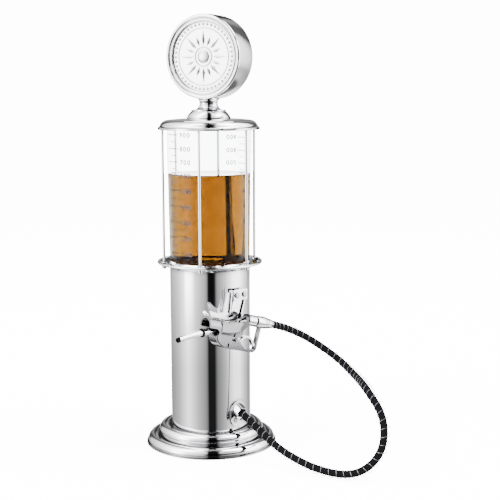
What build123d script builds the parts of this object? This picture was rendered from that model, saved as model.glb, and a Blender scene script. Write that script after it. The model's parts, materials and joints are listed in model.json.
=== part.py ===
from build123d import *
import os
from math import cos, pi, radians, sin, sqrt, tan

# Beer tower dispenser: a clear measuring tank in a rod cage stands on a chromed
# column, and feeds a small fuel-nozzle tap that hangs on the column's side.
# Millimetres. +Z is up, the front (the tank's scale side) faces -Y and the
# nozzle hangs on the +X side. The origin is the centre of the base's underside.

# ---------------------------------------------------------------- dimensions
# Clearances
seat_gap = 0.05          # parts clamped together in one body
slip_gap = 0.3           # parts that only rest or slide past each other
pin_gap = 0.05           # running fit, radial

# Base
base_flange_radius = 76.0
base_flange_reach = 1.7  # the flange stands out past the lower step
base_flange_height = 1.2
base_lift = 0.8          # the spun cover stays off the table; the pad stands on it
base_wall = 1.0
lower_step_radius = base_flange_radius - base_flange_reach
lower_step_roll = 7.2
lower_step_height = 11.6
step_shelf = 13.5        # the upper step stands back from the lower one
upper_step_radius = lower_step_radius - step_shelf
upper_step_roll = 6.4
upper_step_height = 23.0
groove_flare = 0.1       # the upper step's wall leans out to its foot
groove_radius = upper_step_radius + groove_flare
base_foot_depth = 2.3    # the shoulder falls this far from its crest to the column
pad_thickness = 1.6
pad_hole_radius = 4.8
base_plate_thickness = 2.0
base_screw_circle = 41.0
base_screw_radius = 2.0
foot_ring_height = 9.0
foot_ring_width = 7.5

# Column
column_radius = 46.4
column_wall = 1.0
column_top = 208.5
top_ring_height = 7.0
top_ring_width = 9.5
collar_screw_circle = 39.6
collar_screw_radius = 1.5

# Collar dish and tank cage
dish_sheet = 1.2
dish_lip_radius = 60.7
dish_lip_roll = 1.5
dish_lip_height = 7.6    # lip crest above the dish's underside
rod_count = 6
rod_radius = 1.5
rod_circle = 55.0
cage_turn = 7.5          # the rods' angle about the column
cage_ring_thickness = 1.6
cage_ring_outer = 58.2
cage_ring_drop = 5.6     # ring's underside below the tank's rim
rod_socket_radius = 3.3
rod_socket_height = 4.2
rod_nut_radius = 2.7
rod_nut_height = 1.4

# Tank
tank_lift = 3.4          # tank floor's underside above the dish's underside
tank_radius_bottom = 45.9
tank_radius_top = 48.1
tank_wall_bottom = 3.2
tank_wall_top = 2.2
tank_floor = 3.0
tank_height = 160.1
tank_corner = 2.5
seat_ring_inner = 42.6
outlet_radius = 6.8
outlet_flange_radius = 12.0
outlet_flange_height = 2.4
outlet_washer_height = 1.4
outlet_nut_radius = 12.5
outlet_nut_height = 5.0
outlet_bore = 3.4
barb_radius = 4.1
barb_length = 16.0

# Drain tube inside the column
drain_radius = 6.0
drain_wall = 1.4
clamp_width = 6.0
clamp_wall = 0.8

# Hose outlet low on the column
outlet_height = 45.5
boss_width = 22.0
boss_height = 31.0
boss_plate = 2.2
boss_socket_radius = 7.4
boss_socket_length = 7.6
boss_droop = 25.0
boss_sink = 3.5          # plate's middle below the outlet
boss_screw_drop = 10.0
boss_screw_turn = 5.5
small_screw_radius = 1.4
small_head_radius = 2.5
small_head_height = 1.5
elbow_radius = 5.0
elbow_reach = 15.0
elbow_rise = 16.0

# Hose
hose_radius = 4.0
gland_radius = 5.6
gland_length = 3.0

# Nozzle: its own frame stands on the column's side, leaning with the handle.
# In that frame x points away from the column, y along the handle, z upwards.
gun_stand = 64.5         # nozzle's middle plane from the column's axis
gun_along = -28.0
gun_height = 150.3       # the trigger's side of the nose, above the table
gun_lean = 16.0
body_half_width = 8.5
body_round = 1.6
body_crest = [(-19.8, 4.9), (-10.0, 5.0), (-2.9, 5.5), (3.0, 6.6), (11.9, 8.6), (16.8, 10.4), (20.3, 13.0)]
body_keel = [(17.0, 0.6), (9.7, -3.7), (-5.1, -6.9), (-18.6, -7.4)]
nose_half_width = 7.4
waist_half_width = 4.6
waist_top = -8.9
guard_half_width = 2.75
guard_strap = 2.6
guard_floor = -23.6
guard_back = 46.2
guard_rake = 1.6
guard_corner = 7.0
hood_radius = 8.8
hood_wall = 1.7
hood_top = 7.4
hood_root = -19.8
hood_front = -38.0
hood_skirt = -3.8
cheek_thickness = 0.9
handle_radius = 6.5
handle_rise = 11.9
handle_start = 23.2
handle_end = 35.2
handle_bore = 2.6
handle_ring_width = 2.0
coupling_radius = 7.0
coupling_length = 16.4
ferrule_radius = 6.0
ferrule_end_radius = 4.8
ferrule_length = 9.5
pivot_along = 12.5
pivot_level = -10.6
pivot_radius = 1.1
trigger_half_width = 2.2
trigger_thickness = 2.0
lug_thickness = 1.5
lug_radius = 3.7
stem_along = 19.6
stem_radius = 1.1
stem_foot = -8.55        # level where the trigger's strap touches the stem
valve_radius = 3.0
valve_chamber_radius = 3.4
valve_level = -0.4
valve_lift = 2.2
spring_wire = 0.35
spring_radius = 2.2
spring_turns = 4

# Spout, square to the nose and level when the nozzle hangs
spout_root_radius = 3.6
spout_tip_radius = 2.6
spout_wall = 0.8
spout_reach = 33.0
spout_bend_radius = 175.0
neck_radius = 4.0
neck_length = 18.6
neck_cone_length = 11.2
neck_cone_radius = 2.7
neck_bore = 1.6
ring_radius = 4.9
ring_width = 2.8
spout_tip_length = 3.0

# Holster on the column
holster_stand = 51.6     # back of the holster's plate from the column's axis
holster_plate = 1.8
hook_along = 10.5
hook_level = -0.9
hook_width = 8.0
hook_lip = 1.4
hook_rise = 4.2
hanger_radius = 1.3
hanger_stand = -7.5      # hanger bar's axis from the nozzle's middle plane
holster_flange = 1.9
holster_screw_spread = 5.6
holster_drop = 6.8       # the plate's foot below the nozzle's origin
holster_screw_rise = 31.7
holster_screw_along = -1.2

# Lid
lid_overhang = 3.9       # lid's rim below the tank's rim
lid_rim_radius = 58.5
lid_height = 10.4
lid_sheet = 1.0
lid_flat_radius = 24.0
liner_wall = 1.8
liner_depth = 9.2

# Finial and sign
finial_radius = 25.0
finial_step_radius = 19.6
finial_neck_radius = 10.4
finial_height = 20.0
socket_height = 3.6
stud_radius = 2.5
stud_nut_radius = 5.0
stud_nut_height = 4.0
sign_turn = 20.0
sign_radius = 47.1
sign_depth = 30.0
sign_set_back = 2.5      # the drum's middle plane behind the stud
sign_rise = 2.0          # the drum's underside above the finial
sign_wall = 1.3
sign_crown = 0.5
bezel_width = 4.6
bezel_rise = 2.2
inner_bezel_width = 3.6
face_thickness = 1.6
face_recess = 1.4

# ------------------------------------------------------------ derived levels
plate_radius = lower_step_radius - base_wall - 1.6
plate_bottom = pad_thickness
column_bottom = plate_bottom + base_plate_thickness
dish_floor = column_top + dish_sheet
dish_rim_level = column_top + dish_lip_height - dish_lip_roll
tank_bottom = column_top + tank_lift
tank_top = tank_bottom + tank_height
tank_floor_top = tank_bottom + tank_floor
cage_ring_level = tank_top - cage_ring_drop
cage_ring_top = cage_ring_level + cage_ring_thickness
column_bore = column_radius - column_wall
lid_level = tank_top - lid_overhang
lid_top = lid_level + lid_height
finial_top = lid_top + finial_height
sign_level = finial_top + sign_rise + sign_radius
side_face = sqrt(column_radius ** 2 - holster_screw_spread ** 2)
holster_front = holster_stand + holster_plate
holster_foot = gun_height - holster_drop
holster_screw_level = gun_height + holster_screw_rise

gun_frame = Location((gun_stand, gun_along, gun_height), (-gun_lean, 0, 0))
side_plane = Plane(origin=(0, 0, 0), x_dir=(0, 1, 0), z_dir=(1, 0, 0))


def turned(points):
    """Solid of revolution about Z from a closed outline of (radius, height)."""
    outline = Polyline(*points, close=True)
    return revolve(Plane.XZ * make_face(outline), Axis.Z)


def disc(radius, bottom, top):
    """Upright cylinder between two levels."""
    centre = Pos(0, 0, (bottom + top) / 2)
    return centre * Cylinder(radius, top - bottom)


def ring(outer, inner, bottom, top):
    """Upright tube between two levels."""
    return disc(outer, bottom, top) - disc(inner, bottom - 1, top + 1)


def hexagon(across_corners, bottom, top):
    """Upright hexagonal bar between two levels."""
    return Pos(0, 0, bottom) * extrude(RegularPolygon(across_corners, 6), top - bottom)


def around(shape, radius, count, turn=0.0):
    """Copies of a shape set on a circle about Z, as one compound."""
    places = [Rot(0, 0, turn + 360 * i / count) * Pos(radius, 0, 0) for i in range(count)]
    return Compound(children=[place * shape for place in places])


def along_x(shape):
    """Turn a shape made about +Z so that its axis points along +X."""
    return Rot(0, 90, 0) * shape


def slab(outline, low, high):
    """Plate between two x positions from an outline of (y, z) points."""
    face = side_plane * make_face(Polyline(*outline, close=True))
    return Pos(low, 0, 0) * extrude(face, high - low)


def screw(shank_radius, shank_length, head_radius, head_height):
    """Round-headed screw with its head's seat at the origin, pointing down."""
    head = Cylinder(head_radius, head_height, align=(Align.CENTER, Align.CENTER, Align.MIN))
    head = fillet(head.edges().group_by(Axis.Z)[-1], head_height * 0.55)
    slot = Pos(0, 0, head_height) * Box(head_radius * 2, head_height * 0.35, head_height * 0.6)
    shank = Cylinder(shank_radius, shank_length, align=(Align.CENTER, Align.CENTER, Align.MAX))
    return head - slot + shank


# ---------------------------------------------------------------------- base
def base_form(inset, floor_level):
    """The two-step bell of the base, pushed inwards by inset."""
    lower_centre = (lower_step_radius - lower_step_roll, lower_step_height - lower_step_roll)
    upper_centre = (upper_step_radius - upper_step_roll, upper_step_height - upper_step_roll)
    lower = lower_step_roll - inset
    upper = upper_step_roll - inset
    flange_top = base_lift + base_flange_height - inset
    start_turn = 0.0 if flange_top > lower_centre[1] else -(lower_centre[1] - flange_top) / lower
    start = (lower_centre[0] + lower * sqrt(1 - start_turn ** 2), lower_centre[1] + lower * start_turn)
    crest = (lower_centre[0], lower_centre[1] + lower)
    groove = (lower_centre[0] - lower * cos(radians(40)), lower_centre[1] + lower * sin(radians(40)))
    wall_foot = (groove_radius - inset, groove[1])
    side = (upper_centre[0] + upper * cos(radians(-20)), upper_centre[1] + upper * sin(radians(-20)))
    over = (upper_centre[0] + upper * cos(radians(45)), upper_centre[1] + upper * sin(radians(45)))
    foot_level = upper_step_height - base_foot_depth - inset
    foot_run = sqrt(upper ** 2 - (foot_level - upper_centre[1]) ** 2)
    foot = (upper_centre[0] - foot_run, foot_level)
    top = (upper_centre[0], upper_centre[1] + upper)
    edges = [
        Line((0, floor_level), (base_flange_radius - inset, floor_level)),
        Line((base_flange_radius - inset, floor_level), (base_flange_radius - inset, start[1])),
        Line((base_flange_radius - inset, start[1]), start),
        ThreePointArc(start, (lower_centre[0] + lower * cos(radians(40)),
                              lower_centre[1] + lower * sin(radians(40))), crest),
        ThreePointArc(crest, ((crest[0] + groove[0]) / 2, lower_centre[1] + sqrt(
            lower ** 2 - (lower_centre[0] - (crest[0] + groove[0]) / 2) ** 2)), groove),
        Line(groove, wall_foot),
        Line(wall_foot, side),
        ThreePointArc(side, over, top),
        ThreePointArc(top, ((top[0] + foot[0]) / 2, upper_centre[1] + sqrt(
            upper ** 2 - (upper_centre[0] - (top[0] + foot[0]) / 2) ** 2)), foot),
        Line(foot, (0, foot_level)),
        Line((0, foot_level), (0, floor_level)),
    ]
    return revolve(Plane.XZ * make_face(edges), Axis.Z)


def base_cover():
    """Spun two-step cover, open below and bored for the column."""
    outer = base_form(0.0, base_lift)
    inner = base_form(base_wall, base_lift - 1)
    return outer - inner - disc(column_radius + seat_gap, 0, upper_step_height + 1)


def base_plate():
    """Steel disc that closes the base and carries the column."""
    radius = plate_radius
    plate = disc(radius, plate_bottom, column_bottom)
    holes = around(disc(base_screw_radius + slip_gap / 2, 0, column_bottom + 1), base_screw_circle, 3)
    return chamfer(plate.edges().group_by(Axis.Z)[-1], 0.4) - holes


def base_pad():
    """Soft sheet under the plate, the only piece that touches the table, with holes for the screws."""
    holes = around(disc(pad_hole_radius, -1, pad_thickness + 1), base_screw_circle, 3)
    return disc(plate_radius, 0, pad_thickness) - holes


def foot_ring():
    """Ring inside the column's foot, tapped for the base screws."""
    outer = column_bore - seat_gap
    body = ring(outer, outer - foot_ring_width, column_bottom, column_bottom + foot_ring_height)
    taps = around(disc(base_screw_radius, 0, column_bottom + foot_ring_height + 1), base_screw_circle, 3)
    return body - taps


def base_screws():
    """Three low-headed screws, up through the plate into the foot ring."""
    one = screw(base_screw_radius - seat_gap, foot_ring_height, base_screw_radius * 2, pad_thickness - 0.4)
    return around(Pos(0, 0, plate_bottom) * Rot(180, 0, 0) * one, base_screw_circle, 3)


# -------------------------------------------------------------------- column
def column_tube():
    """Chromed tube with its holes for the hose fitting and the holster."""
    tube = ring(column_radius, column_bore, column_bottom, column_top)
    hose_hole = Pos(column_radius, 0, outlet_height) * along_x(Cylinder(elbow_radius + slip_gap, 12))
    tube -= hose_hole
    for place in boss_screw_places(column_radius):
        tube -= place * along_x(Cylinder(small_screw_radius, 12))
    for side in (-holster_screw_spread, holster_screw_spread):
        place = Pos(column_radius, holster_screw_along + side, holster_screw_level)
        tube -= place * along_x(Cylinder(small_screw_radius, 12))
    return tube


def top_ring():
    """Ring inside the column's top, tapped for the collar screws."""
    outer = column_bore - seat_gap
    body = ring(outer, outer - top_ring_width, column_top - top_ring_height, column_top)
    taps = around(disc(collar_screw_radius, column_top - top_ring_height - 1, column_top + 1),
                  collar_screw_circle, 3, 60)
    return body - taps


# --------------------------------------------------------------- collar, cage
def dish_curve(rise):
    """Section of the dish from the column's edge out to its rolled lip."""
    lip_x = dish_lip_radius - dish_lip_roll
    start = (column_radius + 0.6, column_top + rise)
    end = (lip_x, dish_rim_level)
    sag = (start[0] + (end[0] - start[0]) * 0.5, start[1] + (end[1] - start[1]) * 0.56)
    return start, sag, end


def above_dish(rise):
    """Everything above the dish's surface, for seating pieces on it."""
    start, sag, end = dish_curve(rise)
    cap = dish_rim_level + 20
    edges = [
        Line((0, start[1]), start),
        ThreePointArc(start, sag, end),
        Line(end, (end[0] + 20, end[1])),
        Line((end[0] + 20, end[1]), (end[0] + 20, cap)),
        Line((end[0] + 20, cap), (0, cap)),
        Line((0, cap), (0, start[1])),
    ]
    return revolve(Plane.XZ * make_face(edges), Axis.Z)


def rod_place(index):
    """Place of one cage rod on its circle."""
    return Rot(0, 0, cage_turn + 360 * index / rod_count) * Pos(rod_circle, 0, 0)


def collar_dish():
    """Spun dish with a rolled lip, which carries the tank and the cage."""
    sheet = above_dish(0.0) - above_dish(dish_sheet)
    sheet &= disc(dish_lip_radius - dish_lip_roll, column_top - 1, dish_rim_level)
    lip_centre = Pos(0, 0, dish_rim_level)
    lip = lip_centre * Torus(dish_lip_radius - dish_lip_roll, dish_lip_roll)
    dish = sheet + lip
    dish -= disc(outlet_radius + slip_gap, column_top - 1, dish_rim_level)
    dish -= around(disc(collar_screw_radius + slip_gap / 2, column_top - 1, dish_floor + 1),
                   collar_screw_circle, 3, 60)
    for i in range(rod_count):
        dish -= rod_place(i) * disc(rod_radius + pin_gap, column_top - 2, dish_rim_level + 8)
    return dish


def collar_screws():
    """Three screws that hold the dish down on the column's top ring."""
    one = screw(collar_screw_radius - seat_gap, top_ring_height, collar_screw_radius * 1.9, 1.8)
    return around(Pos(0, 0, dish_floor) * one, collar_screw_circle, 3, 60)


def cage_rod(index):
    """One thin rod from under the dish up to the cage's ring."""
    bottom = column_top + rod_nut_height
    rod = disc(rod_radius, bottom, cage_ring_top - 0.1)
    rod = chamfer(rod.edges().group_by(Axis.Z)[0], 0.3)
    return rod_place(index) * rod


def rod_nuts():
    """Domed nuts under the dish, seated on its slope."""
    level = column_top + rod_nut_height - 1.0
    nut = disc(rod_nut_radius, level, dish_rim_level)
    nut = fillet(nut.edges().group_by(Axis.Z)[0], 1.2)
    nut -= disc(rod_radius + pin_gap, level + 0.9, dish_rim_level + 1)
    upper = above_dish(0.0)
    return Compound(children=[rod_place(i) * nut - upper for i in range(rod_count)])


def rod_sockets():
    """Round ferrules at the rods' feet, standing on the dish."""
    top = dish_rim_level + rod_socket_height - 2.0
    base = above_dish(dish_sheet)
    socket = disc(rod_socket_radius, column_top, top)
    socket = fillet(socket.edges().group_by(Axis.Z)[-1], 0.8)
    socket -= disc(rod_radius + pin_gap, column_top - 1, top + 1)
    base -= Pos(0, 0, dish_rim_level) * Torus(dish_lip_radius - dish_lip_roll, dish_lip_roll + seat_gap)
    return Compound(children=[(rod_place(i) * socket) & base for i in range(rod_count)])


def cage_ring():
    """Flat ring that ties the rods' tops and carries the lid."""
    inner = tank_radius_top + slip_gap
    body = ring(cage_ring_outer, inner, cage_ring_level, cage_ring_top)
    for i in range(rod_count):
        body -= rod_place(i) * disc(rod_radius + pin_gap, cage_ring_level - 1, cage_ring_top + 1)
    return chamfer(body.edges().filter_by(GeomType.CIRCLE).sort_by(SortBy.LENGTH)[-1], 0.3)


# ---------------------------------------------------------------------- tank
def tank_wall_radius(level):
    """Outer radius of the slightly tapered tank at a level."""
    share = (level - tank_bottom) / tank_height
    return tank_radius_bottom + (tank_radius_top - tank_radius_bottom) * share


def tank():
    """Clear moulded cup with a bored floor."""
    outer = turned([(0, tank_bottom), (tank_radius_bottom, tank_bottom),
                    (tank_radius_top, tank_top), (0, tank_top)])
    outer = fillet(outer.edges().group_by(Axis.Z)[0], tank_corner)
    low = tank_wall_radius(tank_floor_top) - tank_wall_bottom
    inner = turned([(0, tank_floor_top), (low, tank_floor_top),
                    (tank_radius_top - tank_wall_top, tank_top + 1), (0, tank_top + 1)])
    inner = fillet(inner.edges().group_by(Axis.Z)[0], tank_corner)
    cup = outer - inner - disc(outlet_radius + slip_gap, tank_bottom - 1, tank_floor_top + 1)
    rim = cup.edges().group_by(Axis.Z)[-1]
    return fillet(rim, 0.6)


def seat_ring():
    """Rubber ring between the dish's floor and the tank."""
    return ring(tank_radius_bottom - seat_gap, seat_ring_inner, dish_floor + seat_gap, tank_bottom - seat_gap)


def outlet_fitting():
    """Flanged bulkhead barb through the tank's floor and the dish."""
    flange_bottom = tank_floor_top + outlet_washer_height
    flange = disc(outlet_flange_radius, flange_bottom, flange_bottom + outlet_flange_height)
    flange = fillet(flange.edges().group_by(Axis.Z)[-1], 1.0)
    barrel_bottom = column_top - outlet_nut_height - 2.0
    barrel = disc(outlet_radius, barrel_bottom, flange_bottom)
    barb = disc(barb_radius, barrel_bottom - barb_length, barrel_bottom)
    for i in range(3):
        tip = barrel_bottom - barb_length + 4.0 * i
        barb += turned([(0, tip), (barb_radius - 0.5, tip), (barb_radius + 0.45, tip + 3.0), (0, tip + 3.0)])
    bore = disc(outlet_bore, barrel_bottom - barb_length - 1, flange_bottom + outlet_flange_height + 1)
    return flange + barrel + barb - bore


def outlet_washer():
    """Soft washer under the fitting's flange."""
    return ring(outlet_flange_radius, outlet_radius + seat_gap, tank_floor_top + seat_gap,
                tank_floor_top + outlet_washer_height - seat_gap)


def outlet_spacer():
    """Soft washer between the tank's floor and the dish."""
    return ring(outlet_flange_radius, outlet_radius + seat_gap, dish_floor + seat_gap, tank_bottom - seat_gap)


def outlet_nut():
    """Hexagonal nut that clamps tank and dish together."""
    body = hexagon(outlet_nut_radius, column_top - outlet_nut_height, column_top - seat_gap)
    return body - disc(outlet_radius + seat_gap, column_top - outlet_nut_height - 1, column_top + 1)


# -------------------------------------------------------------- drain, outlet
def drain_ends():
    """Upper and lower end of the drain tube, as points on its line."""
    upper = column_top - outlet_nut_height - 2.0 - 1.0
    lower_x = column_bore - elbow_reach
    return Vector(0, 0, upper), Vector(lower_x, 0, outlet_height + elbow_radius + 2.0)


def drain_tube():
    """Silicone tube from the tank's barb down to the wall fitting."""
    upper, lower = drain_ends()
    span = upper.Z - lower.Z
    route = FilletPolyline(upper, Vector(0, 0, lower.Z + span * 0.58),
                           Vector(lower.X, 0, lower.Z + span * 0.30), lower, radius=40)
    start = Plane(origin=upper, z_dir=(0, 0, -1))
    outside = sweep(start * Circle(drain_radius), path=route)
    inside = sweep(start * Circle(drain_radius - drain_wall), path=route)
    return outside - inside


def tube_clamps():
    """Two crimped bands, one at each end of the drain tube."""
    upper, lower = drain_ends()
    band = ring(drain_radius + clamp_wall, drain_radius + seat_gap, 0, clamp_width)
    ear = Pos(drain_radius + 2.0, 0, clamp_width / 2) * Box(3.0, 2.6, clamp_width)
    clip = band + (ear - disc(drain_radius + seat_gap, -1, clamp_width + 1))
    top = Pos(0, 0, upper.Z - clamp_width - 3.0) * clip
    bottom = Pos(lower.X, 0, lower.Z + 3.0) * clip
    return Compound(children=[top, bottom])


def wall_elbow():
    """Elbow through the column's wall: barb up inside, spigot into the boss."""
    _, lower = drain_ends()
    inner_x = lower.X
    spigot_end = column_radius + 1.0
    length = spigot_end - inner_x
    across = Pos(inner_x + length / 2, 0, outlet_height) * along_x(Cylinder(elbow_radius, length))
    collar_x = column_bore - 3.4
    collar = Pos(collar_x, 0, outlet_height) * along_x(Cylinder(elbow_radius + 2.0, 1.6))
    knuckle = Pos(inner_x, 0, outlet_height) * Sphere(elbow_radius)
    barb_height = elbow_rise + 2.0
    barb = Pos(inner_x, 0, outlet_height + barb_height / 2) * Cylinder(barb_radius, barb_height)
    bore = Pos(inner_x, 0, outlet_height + barb_height / 2) * Cylinder(2.6, barb_height + 1)
    bore += Pos(inner_x + length / 2, 0, outlet_height) * along_x(Cylinder(2.6, length + 1))
    return across + collar + knuckle + barb - bore


def wall_nut():
    """Nut that draws the elbow against the column's wall from inside."""
    x = column_bore - 2.6
    body = along_x(extrude(RegularPolygon(elbow_radius + 4.0, 6), 2.4))
    bore = along_x(Cylinder(elbow_radius + seat_gap, 12))
    flat = Pos(x, 0, outlet_height) * (body - bore)
    return flat & disc(column_bore - seat_gap, 0, column_top)


def socket_axis():
    """Frame at the boss's middle, with +Z along the hose's way out."""
    return Location((column_radius + boss_plate - 2.0, 0, outlet_height + 1.6), (0, 90 + boss_droop, 0))


def socket_mouth():
    """Point where the hose starts inside the boss, and its direction."""
    direction = Vector(cos(radians(boss_droop)), 0, -sin(radians(boss_droop)))
    return socket_axis().position + direction * (boss_socket_length - gland_length), direction


def hose_boss():
    """Oval plate on the column with a drooping socket for the hose."""
    oval = Pos(column_radius - 3, 0, outlet_height - boss_sink) * Rot(0, 90, 0) * extrude(
        Rot(0, 0, 90) * SlotOverall(boss_height, boss_width, rotation=90), 12)
    shell = ring(column_radius + boss_plate, column_radius + seat_gap,
                 outlet_height - boss_height, outlet_height + boss_height)
    plate = oval & shell
    for place in boss_screw_places(column_radius):
        plate -= place * along_x(Cylinder(small_screw_radius + 0.1, 20))
    cone = Cone(boss_socket_radius + 1.0, boss_socket_radius, boss_socket_length + 5,
                align=(Align.CENTER, Align.CENTER, Align.MIN))
    socket = socket_axis() * Pos(0, 0, -5) * cone
    socket -= disc(column_radius + seat_gap, 0, column_top)
    boss = plate + socket
    hose_bore = Cylinder(gland_radius + seat_gap, 40, align=(Align.CENTER, Align.CENTER, Align.MIN))
    boss -= socket_axis() * Pos(0, 0, boss_socket_length - gland_length - 1.0) * hose_bore
    boss -= Pos(column_radius, 0, outlet_height) * along_x(Cylinder(elbow_radius + seat_gap, 7.0))
    return boss


def boss_screw_places(radius):
    """Places of the boss's two screws, side by side below its socket."""
    level = outlet_height - boss_screw_drop
    return [Rot(0, 0, turn) * Pos(radius, 0, level) for turn in (-boss_screw_turn, boss_screw_turn)]


def boss_screws():
    """Two screws that hold the boss to the column."""
    one = Rot(0, 90, 0) * screw(small_screw_radius - seat_gap, 5.0, small_head_radius, small_head_height)
    seat = column_radius + boss_plate + seat_gap
    return Compound(children=[place * one for place in boss_screw_places(seat)])


def hose_gland():
    """Rubber ring that grips the hose in the boss's mouth."""
    body = ring(gland_radius, hose_radius + seat_gap, 0, gland_length)
    return socket_axis() * Pos(0, 0, boss_socket_length - gland_length) * body


def hose_end():
    """Point where the hose enters the nozzle's ferrule, and the way it leaves it."""
    reach = handle_end + handle_ring_width + coupling_length + ferrule_length
    direction = Vector(0, cos(radians(gun_lean)), -sin(radians(gun_lean)))
    local = gun_frame * Pos(0, reach, handle_rise)
    return local.position, direction


def hose_route():
    """Corner points of the hose, from the boss over the table to the nozzle."""
    start, out = socket_mouth()
    end, back = hose_end()
    between = [
        Vector(124.5, -6.5, 17.5), Vector(171.5, 1.5, 5.5), Vector(213.3, 17.4, 5.5),
        Vector(236, 32.1, 31.7), Vector(232.5, 40.1, 68.3), Vector(201, 46.3, 93.4),
        Vector(154.5, 84, 90), Vector(100, 106, 102.5),
    ]
    return [start, start + out * 39, *between, end + back * 37, end]


def hose():
    """Black hose, a plain round cord along its route."""
    points = hose_route()
    radii = []
    for before, here, after in zip(points, points[1:], points[2:]):
        run = min((here - before).length, (after - here).length)
        turn = (here - before).get_angle(after - here)
        radii.append(0.45 * run / tan(radians(turn / 2)))
    print("hose bend radii", [round(r) for r in radii])
    route = FilletPolyline(*points, radius=radii)
    start = Plane(origin=points[0], z_dir=points[1] - points[0])
    tube = sweep(start * Circle(hose_radius), path=route)
    print("hose length", round(route.length, 1), "volume share",
          round(tube.volume / (pi * hose_radius ** 2 * route.length), 4))
    return tube


# -------------------------------------------------------------------- nozzle
def body_outline():
    """Side view of the nozzle's body, from the nose up to the handle."""
    crest = Spline(*body_crest, (handle_start, handle_rise + handle_radius - 0.4))
    keel = Spline((handle_start, handle_rise - handle_radius + 0.2), *body_keel)
    back = Line(crest @ 1, keel @ 0)
    nose = Line(keel @ 1, crest @ 0)
    return make_face([crest, back, keel, nose])


def upper_body():
    """Rounded block between the nose and the handle."""
    face = side_plane * body_outline()
    block = extrude(face, body_half_width, both=True)
    side_edges = [e for e in block.edges() if abs(abs(e.center().X) - body_half_width) < 0.01]
    long_edges = [e for e in side_edges if e.length > 2 * body_half_width]
    block = fillet(long_edges, body_round)
    for side in (-1, 1):
        wedge = Pos(side * body_half_width, 10, 0) * Rot(0, 0, side * 12) * Box(8, 60, 80, align=(
            Align.CENTER, Align.MIN, Align.CENTER))
        block -= Pos(side * 4, 0, 0) * wedge
    return block


def nose_block():
    """Rounded chin under the nose, with a narrow waist between it and the body."""
    chin = Spline((-20.4, waist_top), (-22.3, -14.0), (-18.3, -19.0), (-9.0, -22.6), (0.6, guard_floor))
    edges = [chin, Line(chin @ 1, (0.6, waist_top)), Line((0.6, waist_top), chin @ 0)]
    block = extrude(side_plane * make_face(edges), nose_half_width, both=True)
    side_edges = [e for e in block.edges() if abs(abs(e.center().X) - nose_half_width) < 0.01]
    low_edges = [e for e in side_edges if e.center().Z < waist_top - 1]
    block = fillet([e for e in low_edges if e.length > 20], body_round)
    waist = Pos(0, -6.5, waist_top + 1.4) * Box(2 * waist_half_width, 21.0, 5.0)
    front = Pos(0, -18.9, waist_top + 2.0) * Box(2 * nose_half_width, 3.0, 5.4)
    return block + waist + front


def guard_loop():
    """Web and strap that run from the chin round to the handle's end."""
    strap_top = guard_floor + guard_strap
    heel = guard_back - guard_rake
    guard_top = handle_rise - coupling_radius + 2.0
    outer = FilletPolyline((0, -14), (0, guard_floor), (heel, guard_floor), (guard_back, guard_top),
                           radius=guard_corner)
    inner = FilletPolyline((guard_back - guard_strap, guard_top), (heel - guard_strap, strap_top),
                           (26.5, strap_top), (18.6, -14.6), (2.0, -14.6), radius=3.4)
    edges = [outer, Line(outer @ 1, inner @ 0), inner, Line(inner @ 1, (2.0, -14.0)),
             Line((2.0, -14.0), (0, -14.0))]
    loop = extrude(side_plane * make_face(edges), guard_half_width, both=True)
    under_nut = Pos(0, guard_back, handle_rise) * Rot(90, 0, 0) * Cylinder(coupling_radius + seat_gap, 30)
    return loop - under_nut


def hood():
    """Inverted half-tube that shades the spout's root, with a rolled front rim."""
    centre = hood_top - hood_radius
    lying = Pos(0, -28, centre) * Rot(90, 0, 0)
    tube = lying * Cylinder(hood_radius, 60) + Pos(0, -28, centre - 10) * Box(2 * hood_radius, 60, 20)
    bore = lying * Cylinder(hood_radius - hood_wall, 80)
    bore += Pos(0, -28, centre - 12) * Box(2 * (hood_radius - hood_wall), 80, 24)
    bore &= Pos(0, hood_root - 40, 0) * Box(40, 80, 60)
    side = [(hood_root + 3, 5.4), (hood_root, 5.6), (-30.0, 8.0), (hood_front, 8.0),
            (hood_front + 2.2, hood_skirt), (-25.0, hood_skirt), (-20.2, -7.0), (hood_root + 3, -7.0)]
    profile = slab(side, -hood_radius - 1, hood_radius + 1)
    rim_lying = Pos(0, hood_front + 2.0, centre) * Rot(90, 0, 0)
    rim = rim_lying * Cylinder(hood_radius + 0.5, 2.4)
    rim &= Pos(0, hood_front, centre + 11.5) * Box(40, 20, 20)
    return (profile & (tube + rim)) - bore


def pivot_lugs():
    """Two ears under the body that hold the trigger's pin."""
    gap = trigger_half_width + slip_gap
    ears = None
    for side in (-1, 1):
        middle = side * (gap + lug_thickness / 2)
        ear = Pos(middle, pivot_along, pivot_level) * along_x(Cylinder(lug_radius, lug_thickness))
        ear += Pos(middle, pivot_along - 0.6, pivot_level + 4.4) * Box(
            lug_thickness, 2 * lug_radius + 1.2, 8.0)
        ears = ear if ears is None else ears + ear
    return ears


def spout_frame():
    """World frame on the nose's middle; the spout leaves it along -Y."""
    nose = gun_frame * Pos(0, -19.9, -5.6)
    point = nose.position
    return Location((point.X, point.Y, point.Z))


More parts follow.
